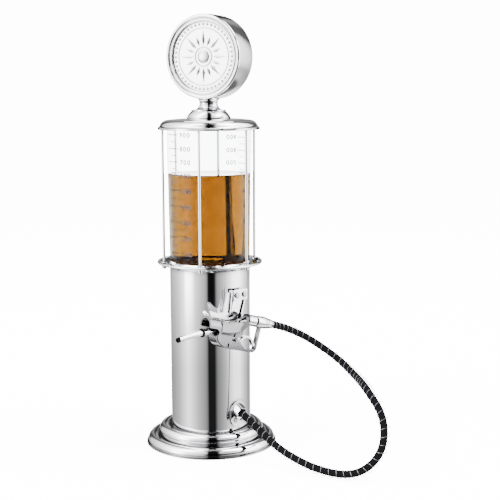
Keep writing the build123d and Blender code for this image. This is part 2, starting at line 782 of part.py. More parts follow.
def gun_body():
    """The nozzle's casting: body, hood, chin, guard, lugs and hanger pocket."""
    body = upper_body() + nose_block() + guard_loop() + hood() + pivot_lugs()
    body -= slab([(-19.5, -12), (-19.5, 20), (20, 20), (20, -12)], body_half_width, body_half_width + 3)
    pocket_width = hook_width + 4 * slip_gap + 1.8
    pocket_low = -40.0
    pocket_top = hook_level + hook_rise + 2.6
    pocket_inner = hanger_stand + hanger_radius + hook_lip + 4 * slip_gap + 0.4
    pocket_outer = -body_half_width - 1.0
    pocket = Pos((pocket_inner + pocket_outer) / 2, hook_along, (pocket_low + pocket_top) / 2) * Box(
        pocket_inner - pocket_outer, pocket_width, pocket_top - pocket_low)
    body -= pocket
    hanger_hole = Pos(hanger_stand, hook_along, hook_level) * Rot(90, 0, 0) * Cylinder(
        hanger_radius + 0.01, pocket_width + 3.0)
    body -= hanger_hole
    body -= Pos(0, pivot_along, pivot_level) * along_x(Cylinder(pivot_radius + pin_gap, 20))
    stem_hole = Pos(0, stem_along, -10) * Cylinder(stem_radius + pin_gap, 30)
    chamber_top = valve_level + 2.4 + valve_lift + 3.4
    chamber = Pos(0, stem_along, 0) * disc(valve_chamber_radius, valve_level, chamber_top)
    body -= stem_hole & (Pos(0, stem_along, 0) * disc(10, -30, valve_level + 1))
    body -= chamber
    slot = Pos(nose_half_width, -3.4, -19.3) * Rot(8, 0, 0) * Box(3.0, 2.0, 4.6)
    body -= slot
    socket = Rot(gun_lean, 0, 0) * Rot(90, 0, 0) * Cylinder(neck_radius + slip_gap, 5.0)
    body -= Pos(0, -19.9, -5.6) * socket
    bore = Pos(0, handle_start - 4, handle_rise) * Rot(90, 0, 0) * Cylinder(handle_bore, 12)
    body -= bore
    return gun_frame * body


def gun_cheek():
    """Polished plate let on to the body's outer side."""
    top = Spline(*[(y, z - body_round) for y, z in body_crest[:5]])
    bottom = Spline(*[(y, z + body_round) for y, z in [(4.6, -5.0), *body_keel[2:]]])
    outline = make_face([top, Line(top @ 1, bottom @ 0), bottom, Line(bottom @ 1, top @ 0)])
    plate = extrude(side_plane * outline, cheek_thickness)
    rim = plate.faces().sort_by(Axis.X)[-1].edges()
    return gun_frame * Pos(body_half_width + seat_gap, 0, 0) * chamfer(rim, 0.25)


def gun_handle():
    """Round grip between the body and the coupling."""
    length = handle_end - handle_start - seat_gap
    tube = Cylinder(handle_radius, length) - Cylinder(handle_bore, length + 1)
    tube = fillet(tube.edges().group_by(Axis.Z)[-1].sort_by(SortBy.LENGTH)[-1], 0.8)
    place = Pos(0, handle_start + seat_gap + length / 2, handle_rise) * Rot(-90, 0, 0)
    return gun_frame * place * tube


def lying_ring(start, length, outer, inner):
    """Ring on the handle's axis, from start on, in the nozzle's frame."""
    body = Cylinder(outer, length) - Cylinder(inner, length + 1)
    return gun_frame * Pos(0, start + length / 2, handle_rise) * Rot(90, 0, 0) * body


def handle_ring():
    """Black sealing ring between the handle and the coupling."""
    width = handle_ring_width - 2 * seat_gap
    return lying_ring(handle_end + seat_gap, width, handle_radius - 0.3, handle_bore)


def coupling_nut():
    """Barrel-shaped nut that joins the hose to the handle."""
    start = handle_end + handle_ring_width
    half = coupling_length / 2
    rim = coupling_radius - 0.5
    barrel = ThreePointArc((rim, -half), (coupling_radius, 0), (rim, half))
    edges = [barrel, Line(barrel @ 1, (handle_bore, half)), Line((handle_bore, half), (handle_bore, -half)),
             Line((handle_bore, -half), barrel @ 0)]
    body = revolve(Plane.XZ * make_face(edges), Axis.Z)
    outer = [e for e in body.edges().filter_by(GeomType.CIRCLE) if e.radius > coupling_radius - 0.6]
    body = chamfer(outer, 0.5)
    step = ring(coupling_radius + 1, coupling_radius - 1.5, half - 4.4, half - 3.4)
    body -= step
    return gun_frame * Pos(0, start + half, handle_rise) * Rot(-90, 0, 0) * body


def hose_ferrule():
    """Crimped, tapering sleeve that holds the hose to the coupling."""
    start = handle_end + handle_ring_width + coupling_length + seat_gap
    length = ferrule_length - seat_gap
    sleeve = turned([(handle_bore, 0), (ferrule_radius - 0.9, 0), (ferrule_radius - 0.9, 0.9),
                     (ferrule_radius, 0.9), (ferrule_radius - 0.3, length * 0.55),
                     (ferrule_end_radius, length), (handle_bore, length)])
    return gun_frame * Pos(0, start, handle_rise) * Rot(-90, 0, 0) * sleeve


def hanger_bar():
    """Steel bar across the pocket, which rests in the holster's hook."""
    length = hook_width + 4 * slip_gap + 1.8 + 3.0
    bar = Rot(90, 0, 0) * Cylinder(hanger_radius, length)
    return gun_frame * Pos(hanger_stand, hook_along, hook_level) * bar


def spout_arc(share):
    """Plane across the spout at a share of its reach."""
    turn = share * spout_reach / spout_bend_radius
    along = -neck_length - ring_width - spout_bend_radius * sin(turn)
    drop = -spout_bend_radius * (1 - cos(turn))
    return Plane(origin=(0, along, drop), x_dir=(1, 0, 0), z_dir=(0, -cos(turn), -sin(turn)))


def spout_loft(inset, low, high):
    """Tapered bent round bar between two shares of the spout's reach."""
    sections = []
    for i in range(5):
        share = low + (high - low) * i / 4
        radius = spout_root_radius + (spout_tip_radius - spout_root_radius) * share - inset
        sections.append(spout_arc(share) * Circle(radius))
    return loft(sections)


def spout():
    """Bent, tapered outlet tube with a fine step near its tip."""
    tip_share = 1 - spout_tip_length / spout_reach
    body = spout_loft(0.0, 0.0, tip_share) - spout_loft(spout_wall, -0.02, tip_share + 0.02)
    step = spout_arc(0.8) * Circle(spout_root_radius)
    taper = spout_root_radius + (spout_tip_radius - spout_root_radius) * 0.8
    groove = extrude(step, 0.7) - extrude(spout_arc(0.8) * Circle(taper - 0.25), 0.7)
    return spout_frame() * (body - groove)


def spout_tip():
    """Black ring on the spout's open end."""
    tip_share = 1 - spout_tip_length / spout_reach
    body = spout_loft(-0.15, tip_share + 0.004, 1.0) - spout_loft(spout_wall, tip_share - 0.02, 1.02)
    return spout_frame() * body


def neck_ring():
    """Black ring between the neck nut and the spout."""
    body = Cylinder(ring_radius, ring_width - 2 * seat_gap)
    body = fillet(body.edges(), 0.9) - Cylinder(neck_bore, 10)
    return spout_frame() * Pos(0, -neck_length - ring_width / 2, 0) * Rot(90, 0, 0) * body


def neck_nut():
    """Round neck nut with a cone that runs back into the nose."""
    seam = neck_cone_length
    cone = turned([(neck_bore, -1.8), (neck_cone_radius, -1.8), (neck_cone_radius, 0.3),
                   (neck_radius + 0.1, seam), (neck_bore, seam)])
    body = turned([(neck_bore, seam), (neck_radius - 0.4, seam), (neck_radius - 0.4, seam + 0.6),
                   (neck_radius, seam + 0.6), (neck_radius, neck_length - 0.3),
                   (neck_radius - 0.3, neck_length), (neck_bore, neck_length)])
    return spout_frame() * Rot(90, 0, 0) * (cone + body)


def trigger():
    """Arched lever with an eye at its pivot."""
    path = FilletPolyline((pivot_along, pivot_level), (17.6, -13.4), (28.0, -4.2), (35.2, -9.2),
                          (40.0, -14.6), radius=(2.2, 9.0, 9.0))
    width = 2 * trigger_half_width
    start = side_plane * Plane(origin=path @ 0, z_dir=path % 0)
    strap = sweep(start * Rectangle(trigger_thickness, width), path=side_plane * path)
    if strap.bounding_box().size.X < width - 0.1:
        strap = sweep(start * Rectangle(width, trigger_thickness), path=side_plane * path)
    toe = Pos(0, 40.0, -14.6) * along_x(Cylinder(trigger_thickness * 0.75, width))
    eye = Pos(0, pivot_along, pivot_level) * along_x(Cylinder(2.9, width))
    eye_bore = Pos(0, pivot_along, pivot_level) * along_x(Cylinder(pivot_radius, width + 1))
    body = strap + toe + eye - eye_bore
    return gun_frame * body


def trigger_pin():
    """Pin through the lugs and the trigger's eye."""
    ear_face = trigger_half_width + slip_gap + lug_thickness
    length = 2 * ear_face + 0.4
    pin = Pos(0, 0, 0.3) * Cylinder(pivot_radius - pin_gap, length)
    head = Pos(0, 0, length / 2 + 0.3) * Cylinder(pivot_radius + 0.7, 0.6)
    return gun_frame * Pos(0, pivot_along, pivot_level) * along_x(pin + head)


def valve_stem():
    """Stem that the trigger lifts, with the valve's disc on it."""
    stem = disc(stem_radius, stem_foot, valve_level + 2.0)
    stem = fillet(stem.edges().group_by(Axis.Z)[0], 0.6)
    head = disc(valve_radius, valve_level + slip_gap, valve_level + 1.8)
    return gun_frame * Pos(0, stem_along, 0) * (stem + head)


def valve_spring():
    """Coil spring between the valve's disc and the chamber's roof."""
    low = valve_level + 1.8 + spring_wire
    height = 2.4 + valve_lift + 3.4 - 1.8 - 2 * spring_wire
    helix = Helix(pitch=height / spring_turns, height=height, radius=spring_radius)
    start = Plane(origin=helix @ 0, z_dir=helix % 0)
    coil = sweep(start * Circle(spring_wire), path=helix, is_frenet=True)
    return gun_frame * Pos(0, stem_along, low) * coil


# ------------------------------------------------------------------- holster
def holster():
    """Forked plate on the column with the hook that the nozzle hangs on."""
    comb = [
        (-45.4, 19.9), (-47.4, 26.7), (-36.5, 22.5), (-26.8, 21.9), (-20.6, 42.5), (-18.0, 43.1),
        (-20.0, 23.0), (-19.2, 20.0), (-16.2, 45.5), (-13.8, 45.5), (-15.6, 20.0), (-13.6, 20.0),
        (-10.6, 32.0), (-11.2, 44.5), (9.0, 44.5), (9.0, 32.5), (4.4, 32.5), (-3.2, 10.0), (-8.0, 0.0),
        (-23.0, 0.0), (-26.0, 14.0),
    ]
    plate = slab(comb, holster_stand, holster_front)
    blade_edge = [(4.4, 32.5), (2.9, 32.5), (-4.7, 10.0), (-3.2, 10.0)]
    plate += slab(blade_edge, holster_front - 0.2, holster_front + holster_flange)
    tall_edge = [(-16.2, 45.5), (-14.9, 45.5), (-17.9, 20.0), (-19.2, 20.0)]
    plate += slab(tall_edge, holster_front - 0.2, holster_front + holster_flange)
    plate = Pos(0, 0, holster_foot) * plate
    hook_frame = gun_frame * Pos(0, hook_along, hook_level)
    plate_x = holster_front - gun_stand
    lip_in = hanger_stand + hanger_radius + slip_gap * 1.5
    floor_top = -hanger_radius - slip_gap / 2
    shelf = Pos((plate_x - 1.0 + lip_in + hook_lip) / 2, 0, floor_top - 0.8) * Box(
        lip_in + hook_lip - plate_x + 1.0, hook_width, 1.6)
    lip = Pos(lip_in + hook_lip / 2, 0, floor_top + (hook_rise - 1.6) / 2 - 0.8) * Box(
        hook_lip, hook_width, hook_rise)
    holster_body = plate + hook_frame * (shelf + lip)
    for side in (-holster_screw_spread, holster_screw_spread):
        stand = holster_stand - side_face + 3.0
        place = Pos(holster_stand - stand / 2 + 0.1, holster_screw_along + side, holster_screw_level)
        holster_body += place * along_x(Cylinder(3.4, stand))
    holster_body -= disc(column_radius + seat_gap, 0, column_top)
    for side in (-holster_screw_spread, holster_screw_spread):
        place = Pos(holster_stand, holster_screw_along + side, holster_screw_level)
        holster_body -= place * along_x(Cylinder(small_screw_radius + 0.1, 30))
    return holster_body


def holster_screws():
    """Two round-headed screws through the holster into the column."""
    one = Rot(0, 90, 0) * screw(small_screw_radius - seat_gap, holster_front - column_bore + 4.0,
                                small_head_radius + 0.4, 2.0)
    places = [Pos(holster_front + seat_gap, holster_screw_along + side, holster_screw_level)
              for side in (-holster_screw_spread, holster_screw_spread)]
    return Compound(children=[place * one for place in places])


# ----------------------------------------------------------------- lid, sign
def lid_form(inset):
    """Pan-shaped lid with a flared rim, pushed inwards by inset."""
    rim = lid_rim_radius - inset
    shoulder = lid_rim_radius - 3.1 - inset
    top = lid_top - inset
    edges = [
        Line((0, lid_level - inset), (rim, lid_level - inset)),
        Line((rim, lid_level - inset), (rim, lid_level + 0.5 - inset * 0.4)),
        ThreePointArc((rim, lid_level + 0.5 - inset * 0.4), (rim - 2.0, lid_level + 2.0 - inset * 0.4),
                      (shoulder, lid_level + 4.0 - inset * 0.4)),
        ThreePointArc((shoulder, lid_level + 4.0 - inset * 0.4),
                      (shoulder - 2.9, lid_level + 7.2 - inset * 0.7), (shoulder - 9.0, top - 1.2)),
        ThreePointArc((shoulder - 9.0, top - 1.2), (shoulder - 19.0, top - 0.25), (lid_flat_radius, top)),
        Line((lid_flat_radius, top), (0, top)),
        Line((0, top), (0, lid_level - inset)),
    ]
    return revolve(Plane.XZ * make_face(edges), Axis.Z)


def lid_shell():
    """Spun lid, open below, bored for the stud."""
    shell = lid_form(0.0) - lid_form(lid_sheet)
    return shell - disc(stud_radius + pin_gap, lid_level, lid_top + 1)


def lid_liner():
    """Soft stopper ring under the lid that drops into the tank's mouth."""
    outer = tank_radius_top - tank_wall_top - slip_gap - 0.3
    disc_top = lid_top - lid_sheet - 1.2 - slip_gap
    disc_bottom = disc_top - 1.4
    bottom = disc_top - liner_depth
    hole = stud_nut_radius + 2.2
    return turned([(hole, disc_bottom), (outer - liner_wall, disc_bottom), (outer - liner_wall, bottom),
                   (outer, bottom), (outer, disc_top), (hole, disc_top)])


def finial():
    """Turned bell between the lid and the sign."""
    base = lid_top + seat_gap
    step = base + finial_height * 0.42
    edges = [
        Line((0, base), (finial_radius, base)),
        Line((finial_radius, base), (finial_radius, base + 0.9)),
        ThreePointArc((finial_radius, base + 0.9), (finial_radius - 2.4, base + 5.2),
                      (finial_step_radius, step)),
        Line((finial_step_radius, step), (finial_step_radius, step + 1.5)),
        Line((finial_step_radius, step + 1.5), (finial_step_radius - 1.6, step + 1.5)),
        ThreePointArc((finial_step_radius - 1.6, step + 1.5), (finial_neck_radius + 1.3, step + 4.4),
                      (finial_neck_radius, finial_top - 2.4)),
        Line((finial_neck_radius, finial_top - 2.4), (finial_neck_radius + 0.5, finial_top)),
        Line((finial_neck_radius + 0.5, finial_top), (0, finial_top)),
        Line((0, finial_top), (0, base)),
    ]
    bell = revolve(Plane.XZ * make_face(edges), Axis.Z)
    return bell - disc(stud_radius + pin_gap, base - 1, finial_top + 1)


def sign_place(shape):
    """Set a piece made about the drum's axis, facing -Y, on the stud."""
    return Rot(0, 0, sign_turn) * Pos(0, sign_set_back, sign_level) * Rot(90, 0, 0) * shape


def sign_socket():
    """Flared cup, cut to the drum, that turns on the finial."""
    bottom = finial_top + slip_gap
    top = sign_level - sign_radius + 6.0
    flare = finial_neck_radius + 3.2
    cup = turned([(0, bottom), (finial_neck_radius + 0.4, bottom), (flare, bottom + socket_height),
                  (flare, top), (0, top)])
    around_drum = sign_place(Cylinder(sign_radius + sign_crown + seat_gap, sign_depth * 3))
    return cup - around_drum - disc(stud_radius + seat_gap, bottom - 1, top + 1)


def sign_stud():
    """Long stud from under the lid up into the drum."""
    low = lid_top - lid_sheet - stud_nut_height - 3.0
    high = sign_level - sign_radius + sign_wall + stud_nut_height + 2.6
    return disc(stud_radius, low, high)


def stud_nuts():
    """Nut under the lid and nut inside the drum."""
    low_top = lid_top - lid_sheet - slip_gap
    high = sign_level - sign_radius + sign_wall + 0.6
    bore = disc(stud_radius + seat_gap, 0, sign_level)
    lower = hexagon(stud_nut_radius, low_top - stud_nut_height, low_top) - bore
    upper = hexagon(stud_nut_radius, high, high + stud_nut_height) - bore
    return Compound(children=[lower, upper])


def drum_section(crown, inset):
    """Solid drum with a slightly crowned side."""
    half = sign_depth / 2
    edge = sign_radius - inset
    arc = ThreePointArc((edge, -half), (edge + crown, 0), (edge, half))
    edges = [arc, Line((edge, half), (0, half)), Line((0, half), (0, -half)), Line((0, -half), (edge, -half))]
    return revolve(Plane.XZ * make_face(edges), Axis.Z)


def sign_drum():
    """Crowned rim of the sign, open at both faces."""
    bore = Cylinder(sign_radius - sign_wall, sign_depth + 4)
    drum = sign_place(drum_section(sign_crown, 0.0) - bore)
    return drum - disc(stud_radius + pin_gap, finial_top, sign_level)


def bezel(side):
    """Double ring that closes one face of the drum."""
    half = sign_depth / 2 + seat_gap
    middle = sign_radius - bezel_width
    inner = middle - inner_bezel_width
    spigot = sign_radius - sign_wall - seat_gap
    edges = [
        Line((inner, half - face_recess), (spigot, half - face_recess)),
        Line((spigot, half - face_recess), (spigot, half)),
        Line((spigot, half), (sign_radius, half)),
        ThreePointArc((sign_radius, half), ((sign_radius + middle) / 2, half + bezel_rise),
                      (middle, half + 0.3)),
        Line((middle, half + 0.3), (middle - 0.6, half + 0.3)),
        ThreePointArc((middle - 0.6, half + 0.3), ((middle - 0.6 + inner) / 2, half + bezel_rise * 0.55),
                      (inner, half - 0.4)),
        Line((inner, half - 0.4), (inner, half - face_recess)),
    ]
    body = revolve(Plane.XZ * make_face(edges), Axis.Z)
    return sign_place(body if side > 0 else Rot(180, 0, 0) * body)


def sign_plate(side):
    """Disc behind a bezel: the decorated face, or the plain back."""
    radius = sign_radius - sign_wall - seat_gap * 2
    top = sign_depth / 2 - face_recess
    body = disc(radius, top - face_thickness, top)
    return sign_place(body if side > 0 else Rot(180, 0, 0) * body)


# -------------------------------------------------------------------- export
def all_nodes():
    """Every piece of the dispenser by its node's name."""
    nodes = {
        "base_cover": base_cover(),
        "base_plate": base_plate(),
        "base_pad": base_pad(),
        "column_foot_ring": foot_ring(),
        "base_screws": base_screws(),
        "column_tube": column_tube(),
        "column_top_ring": top_ring(),
        "collar_dish": collar_dish(),
        "collar_screws": collar_screws(),
        "rod_nuts": rod_nuts(),
        "rod_sockets": rod_sockets(),
        "cage_ring": cage_ring(),
        "tank": tank(),
        "tank_seat_ring": seat_ring(),
        "outlet_fitting": outlet_fitting(),
        "outlet_washer": outlet_washer(),
        "outlet_spacer": outlet_spacer(),
        "outlet_nut": outlet_nut(),
        "drain_tube": drain_tube(),
        "tube_clamps": tube_clamps(),
        "wall_elbow": wall_elbow(),
        "wall_nut": wall_nut(),
        "hose_boss": hose_boss(),
        "boss_screws": boss_screws(),
        "hose_gland": hose_gland(),
        "hose": hose(),
        "gun_body": gun_body(),
        "gun_cheek": gun_cheek(),
        "gun_handle": gun_handle(),
        "handle_ring": handle_ring(),
        "coupling_nut": coupling_nut(),
        "hose_ferrule": hose_ferrule(),
        "hanger_bar": hanger_bar(),
        "neck_nut": neck_nut(),
        "neck_ring": neck_ring(),
        "spout": spout(),
        "spout_tip": spout_tip(),
        "trigger": trigger(),
        "trigger_pin": trigger_pin(),
        "valve_stem": valve_stem(),
        "valve_spring": valve_spring(),
        "holster": holster(),
        "holster_screws": holster_screws(),
        "lid_shell": lid_shell(),
        "lid_liner": lid_liner(),
        "finial": finial(),
        "sign_socket": sign_socket(),
        "sign_stud": sign_stud(),
        "stud_nuts": stud_nuts(),
        "sign_drum": sign_drum(),
        "sign_bezel_front": bezel(1),
        "sign_bezel_back": bezel(-1),
        "sign_face": sign_plate(1),
        "sign_back": sign_plate(-1),
    }
    for i in range(rod_count):
        nodes[f"cage_rod_{i + 1}"] = cage_rod(i)
    return nodes


os.makedirs("parts", exist_ok=True)
for name, shape in all_nodes().items():
    export_step(shape, f"parts/{name}.step")
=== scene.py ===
"""Visual model of the drink dispenser tower: finishes, drink, scale, hose, spring, sign and studio.

All lengths are metres in the row frame: +Z is up, the tank's scale faces -Y and
the nozzle hangs on the +X side.
"""

import json
import logging
import math
from collections.abc import Callable, Iterable, Sequence
from dataclasses import dataclass, field
from enum import Enum

import bmesh
import bpy
from mathutils import Matrix, Vector

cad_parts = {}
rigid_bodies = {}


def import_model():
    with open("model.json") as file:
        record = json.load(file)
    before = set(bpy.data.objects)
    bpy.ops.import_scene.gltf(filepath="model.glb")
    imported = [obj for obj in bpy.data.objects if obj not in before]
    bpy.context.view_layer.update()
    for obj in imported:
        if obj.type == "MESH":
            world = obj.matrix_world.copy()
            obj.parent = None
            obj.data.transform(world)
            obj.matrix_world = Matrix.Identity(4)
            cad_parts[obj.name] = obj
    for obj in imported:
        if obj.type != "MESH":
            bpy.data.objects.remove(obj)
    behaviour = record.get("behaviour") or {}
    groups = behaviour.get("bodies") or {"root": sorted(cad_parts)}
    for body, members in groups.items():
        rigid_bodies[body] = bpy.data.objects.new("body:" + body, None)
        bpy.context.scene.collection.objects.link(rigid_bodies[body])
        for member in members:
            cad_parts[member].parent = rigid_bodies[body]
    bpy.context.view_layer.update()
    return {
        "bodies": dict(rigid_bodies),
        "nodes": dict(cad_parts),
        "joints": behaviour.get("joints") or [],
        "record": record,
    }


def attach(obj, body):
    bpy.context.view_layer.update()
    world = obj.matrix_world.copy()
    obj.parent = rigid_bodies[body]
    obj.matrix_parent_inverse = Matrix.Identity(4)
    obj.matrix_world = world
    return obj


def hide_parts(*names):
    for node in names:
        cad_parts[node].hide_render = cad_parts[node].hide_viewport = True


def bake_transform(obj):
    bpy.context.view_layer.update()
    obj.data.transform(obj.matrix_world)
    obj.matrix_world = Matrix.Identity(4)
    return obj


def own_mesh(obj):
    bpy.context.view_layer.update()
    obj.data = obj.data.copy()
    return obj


LOG = logging.getLogger("dispenser")
WELD = 1e-7
FULL_TURN = 2 * math.pi
UP = Vector((0.0, 0.0, 1.0))
WHITE = (1.0, 1.0, 1.0, 1.0)
# Near-black painted shade that the metals' base colour turns to in crevices.
PAINTED_CREVICE_SHADE = (0.006, 0.006, 0.007, 1.0)


# --------------------------------------------------------------------- finishes
class Surface(Enum):
    """How a finish is shaded."""

    METAL = "metal"
    GLASS = "glass"
    DRINK = "drink"
    SOFT = "soft"
    PRINT = "print"
    DARK = "dark"


SHADING: dict[Surface, dict[str, object]] = {
    Surface.METAL: {"Metallic": 1.0},
    Surface.GLASS: {"Specular IOR Level": 0.26, "Transmission Weight": 1.0, "IOR": 1.14},
    Surface.DRINK: {"Base Color": WHITE, "Specular IOR Level": 0.1,
                    "Specular Tint": (0.2, 0.2, 0.2, 1.0), "Transmission Weight": 1.0, "IOR": 1.27},
    Surface.SOFT: {"Specular IOR Level": 0.22},
    Surface.PRINT: {"Specular IOR Level": 0.04, "IOR": 1.1},
    # Painted glow: a black surface that gives off its own colour as painted light.
    Surface.DARK: {"Base Color": (0.0, 0.0, 0.0, 1.0), "Specular IOR Level": 0.0,
                   "Emission Strength": 1.0},
}


@dataclass(frozen=True)
class Finish:
    """One procedural surface.

    Attributes:
        name: Material name.
        surface: Shading family.
        colour: Linear base colour; what a drink lets through; the painted glow that a self-lit floor
            gives off.
        roughness: Mean roughness.
        wear: Strength of smudges in the roughness.
        grain: Height of the fine surface texture, in metres.
        grain_size: Noise scale of the fine texture, per metre.
        density: Absorption in the volume, per metre.
        slot: Record slot that the finish answers to.
    """

    name: str
    surface: Surface
    colour: tuple[float, float, float]
    roughness: float
    wear: float = 0.0
    grain: float = 0.0
    grain_size: float = 900.0
    density: float = 0.0
    slot: str = ""


CHROME = Finish("chrome", Surface.METAL, (0.80, 0.80, 0.82), 0.035, wear=0.05, slot="chrome")
CAST = Finish("cast_chrome", Surface.METAL, (0.22, 0.22, 0.23), 0.10, wear=0.08,
              grain=0.00005, grain_size=1500.0, slot="cast_chrome")
SATIN = Finish("satin_chrome", Surface.METAL, (0.30, 0.30, 0.31), 0.30, wear=0.06,
               grain=0.00002, grain_size=2600.0, slot="satin_chrome")
STEEL = Finish("steel", Surface.METAL, (0.58, 0.58, 0.60), 0.24, wear=0.12, slot="steel")
SPRING = Finish("spring_steel", Surface.METAL, (0.50, 0.50, 0.52), 0.22, wear=0.1,
                slot="spring_steel")
WIRE = Finish("wire_steel", Surface.METAL, (0.22, 0.22, 0.23), 0.25, wear=0.1,
              slot="spring_steel")
CLEAR = Finish("clear", Surface.GLASS, (0.975, 0.985, 1.0), 0.0, slot="clear")
DRINK = Finish("drink", Surface.DRINK, (0.62, 0.48, 0.0), 0.0, density=95.0)
# Painted glow on the drink's floor faces, standing in for the dark amber look of the tank's bottom.
DRINK_FLOOR_GLOW = Finish("painted_drink_floor_glow", Surface.DARK, (0.090, 0.036, 0.014), 0.6)
BLACK = Finish("black_rubber", Surface.PRINT, (0.004, 0.004, 0.0045), 0.6, wear=0.15,
               grain=0.00002, grain_size=3000.0, slot="black_rubber")
SEAL = Finish("white_seal", Surface.SOFT, (0.72, 0.72, 0.70), 0.4, wear=0.1, slot="white_seal")
SILICONE = Finish("silicone", Surface.SOFT, (0.70, 0.70, 0.66), 0.25, wear=0.1, slot="silicone")
GLOSS = Finish("black_plastic", Surface.SOFT, (0.010, 0.010, 0.010), 0.12, wear=0.1,
               slot="black_plastic")
BRASS = Finish("valve_brass", Surface.METAL, (0.72, 0.50, 0.20), 0.2, wear=0.1,
               slot="valve_brass")
FACE = Finish("face_print", Surface.METAL, (0.93, 0.93, 0.95), 0.30, wear=0.04,
              slot="face_print")
RELIEF = Finish("face_relief", Surface.METAL, (0.62, 0.62, 0.64), 0.22, wear=0.05,
                slot="face_print")
PRINT = Finish("scale_print", Surface.PRINT, (0.04, 0.04, 0.045), 0.5)
NODE_FINISHES = (CHROME, CAST, SATIN, STEEL, SPRING, CLEAR, BLACK, SEAL, SILICONE, GLOSS, BRASS, FACE)


# ------------------------------------------------------------------- dimensions
@dataclass(frozen=True)
class TankSize:
    """The tank's sizes and the drink's level."""

    bottom: float = 0.2119
    height: float = 0.1601
    floor_top: float = 0.2149
    radius_bottom: float = 0.0459
    radius_top: float = 0.0481
    wall_bottom: float = 0.0032
    wall_top: float = 0.0022
    corner: float = 0.0025
    bore_over: float = 0.001
    fill_level: float = 0.3158

    def outer(self, level: float) -> float:
        """Outer radius at a height above the table."""
        share = (level - self.bottom) / self.height
        return self.radius_bottom + (self.radius_top - self.radius_bottom) * share

    def inner(self, level: float) -> float:
        """Inner radius of the tapered bore.

        Args:
            level: Height above the table.

        Returns:
            The bore's radius there.
        """
        low = self.outer(self.floor_top) - self.wall_bottom
        high = self.radius_top - self.wall_top
        top = self.bottom + self.height + self.bore_over
        share = (level - self.floor_top) / (top - self.floor_top)
        return low + (high - low) * share


@dataclass(frozen=True)
class NozzleFrame:
    """Where the hanging nozzle sits, with its own directions."""

    origin: Vector = field(default_factory=lambda: Vector((0.0645, -0.0280, 0.1503)))
    lean: float = math.radians(16.0)

    @property
    def back(self) -> Vector:
        """Direction from the spout to the hose."""
        return Vector((0.0, math.cos(self.lean), -math.sin(self.lean)))

    @property
    def up(self) -> Vector:
        """Direction that the valve's stem moves in."""
        return Vector((0.0, math.sin(self.lean), math.cos(self.lean)))


TANK = TankSize()
NOZZLE = NozzleFrame()


# -------------------------------------------------------------------- node work
class Graph:
    """Thin helper for building shader node trees."""

    def __init__(self, tree: bpy.types.NodeTree) -> None:
        """Wraps a tree and empties it."""
        self.tree = tree
        tree.nodes.clear()

    def add(self, kind: str, **values: object) -> bpy.types.Node:
        """Adds one node.

        Args:
            kind: Node type without its ShaderNode prefix, or a full type name.
            **values: Properties, or input values by socket name with spaces as underscores.

        Returns:
            The new node.
        """
        full = kind if kind.startswith("NodeGroup") else "ShaderNode" + kind
        node = self.tree.nodes.new(full)
        for key, value in values.items():
            socket = node.inputs.get(key.replace("_", " "))
            if socket is not None:
                socket.default_value = value
            else:
                setattr(node, key, value)
        return node

    def link(self, source: bpy.types.NodeSocket, target: bpy.types.NodeSocket) -> None:
        """Links an output socket to an input socket."""
        self.tree.links.new(source, target)

    def math(self, operation: str, *values: object) -> bpy.types.NodeSocket:
        """Adds a maths node fed by sockets or numbers.

        Args:
            operation: Maths operation.
            *values: Sockets or constants.

        Returns:
            The result's socket.
        """
        node = self.tree.nodes.new("ShaderNodeMath")
        node.operation = operation
        for index, value in enumerate(values):
            if isinstance(value, bpy.types.NodeSocket):
                self.link(value, node.inputs[index])
            else:
                node.inputs[index].default_value = float(value)
        return node.outputs[0]

    def weighted(self, first: bpy.types.NodeSocket, share: float, second: bpy.types.NodeSocket,
                 rest: float, operation: str = "ADD") -> bpy.types.NodeSocket:
        """Adds or subtracts two sockets, each times its own number.

        Args:
            first: First socket.
            share: Its factor.
            second: Second socket.
            rest: Its factor.
            operation: ADD or SUBTRACT.

        Returns:
            The result's socket.
        """
        left = self.math("MULTIPLY", first, share)
        return self.math(operation, left, self.math("MULTIPLY", second, rest))

    def product(self, first: bpy.types.NodeSocket, second: bpy.types.NodeSocket
                ) -> bpy.types.NodeSocket:
        """Multiplies two colours.

        Args:
            first: First colour's socket.
            second: Second colour's socket.

        Returns:
            The product's socket.
        """
        mixed = self.add("Mix", data_type="RGBA", blend_type="MULTIPLY")
        mixed.inputs[0].default_value = 1.0
        self.link(first, mixed.inputs[6])
        self.link(second, mixed.inputs[7])
        return mixed.outputs[2]


def new_group(name: str, inputs: Iterable[tuple[str, float]], output: tuple[str, str]
              ) -> tuple[bpy.types.NodeTree, Graph, bpy.types.Node, bpy.types.Node]:
    """Starts a shared shader group.

    Args:
        name: Group name.
        inputs: Float inputs with their defaults.
        output: Name and socket type of what the group puts out.

    Returns:
        The tree, its helper, and its input and output nodes.
    """
    tree = bpy.data.node_groups.new(name, "ShaderNodeTree")
    for label, default in inputs:
        socket = tree.interface.new_socket(label, in_out="INPUT", socket_type="NodeSocketFloat")
        socket.default_value = default
    tree.interface.new_socket(output[0], in_out="OUTPUT", socket_type=output[1])
    graph = Graph(tree)
    return tree, graph, graph.add("NodeGroupInput"), graph.add("NodeGroupOutput")


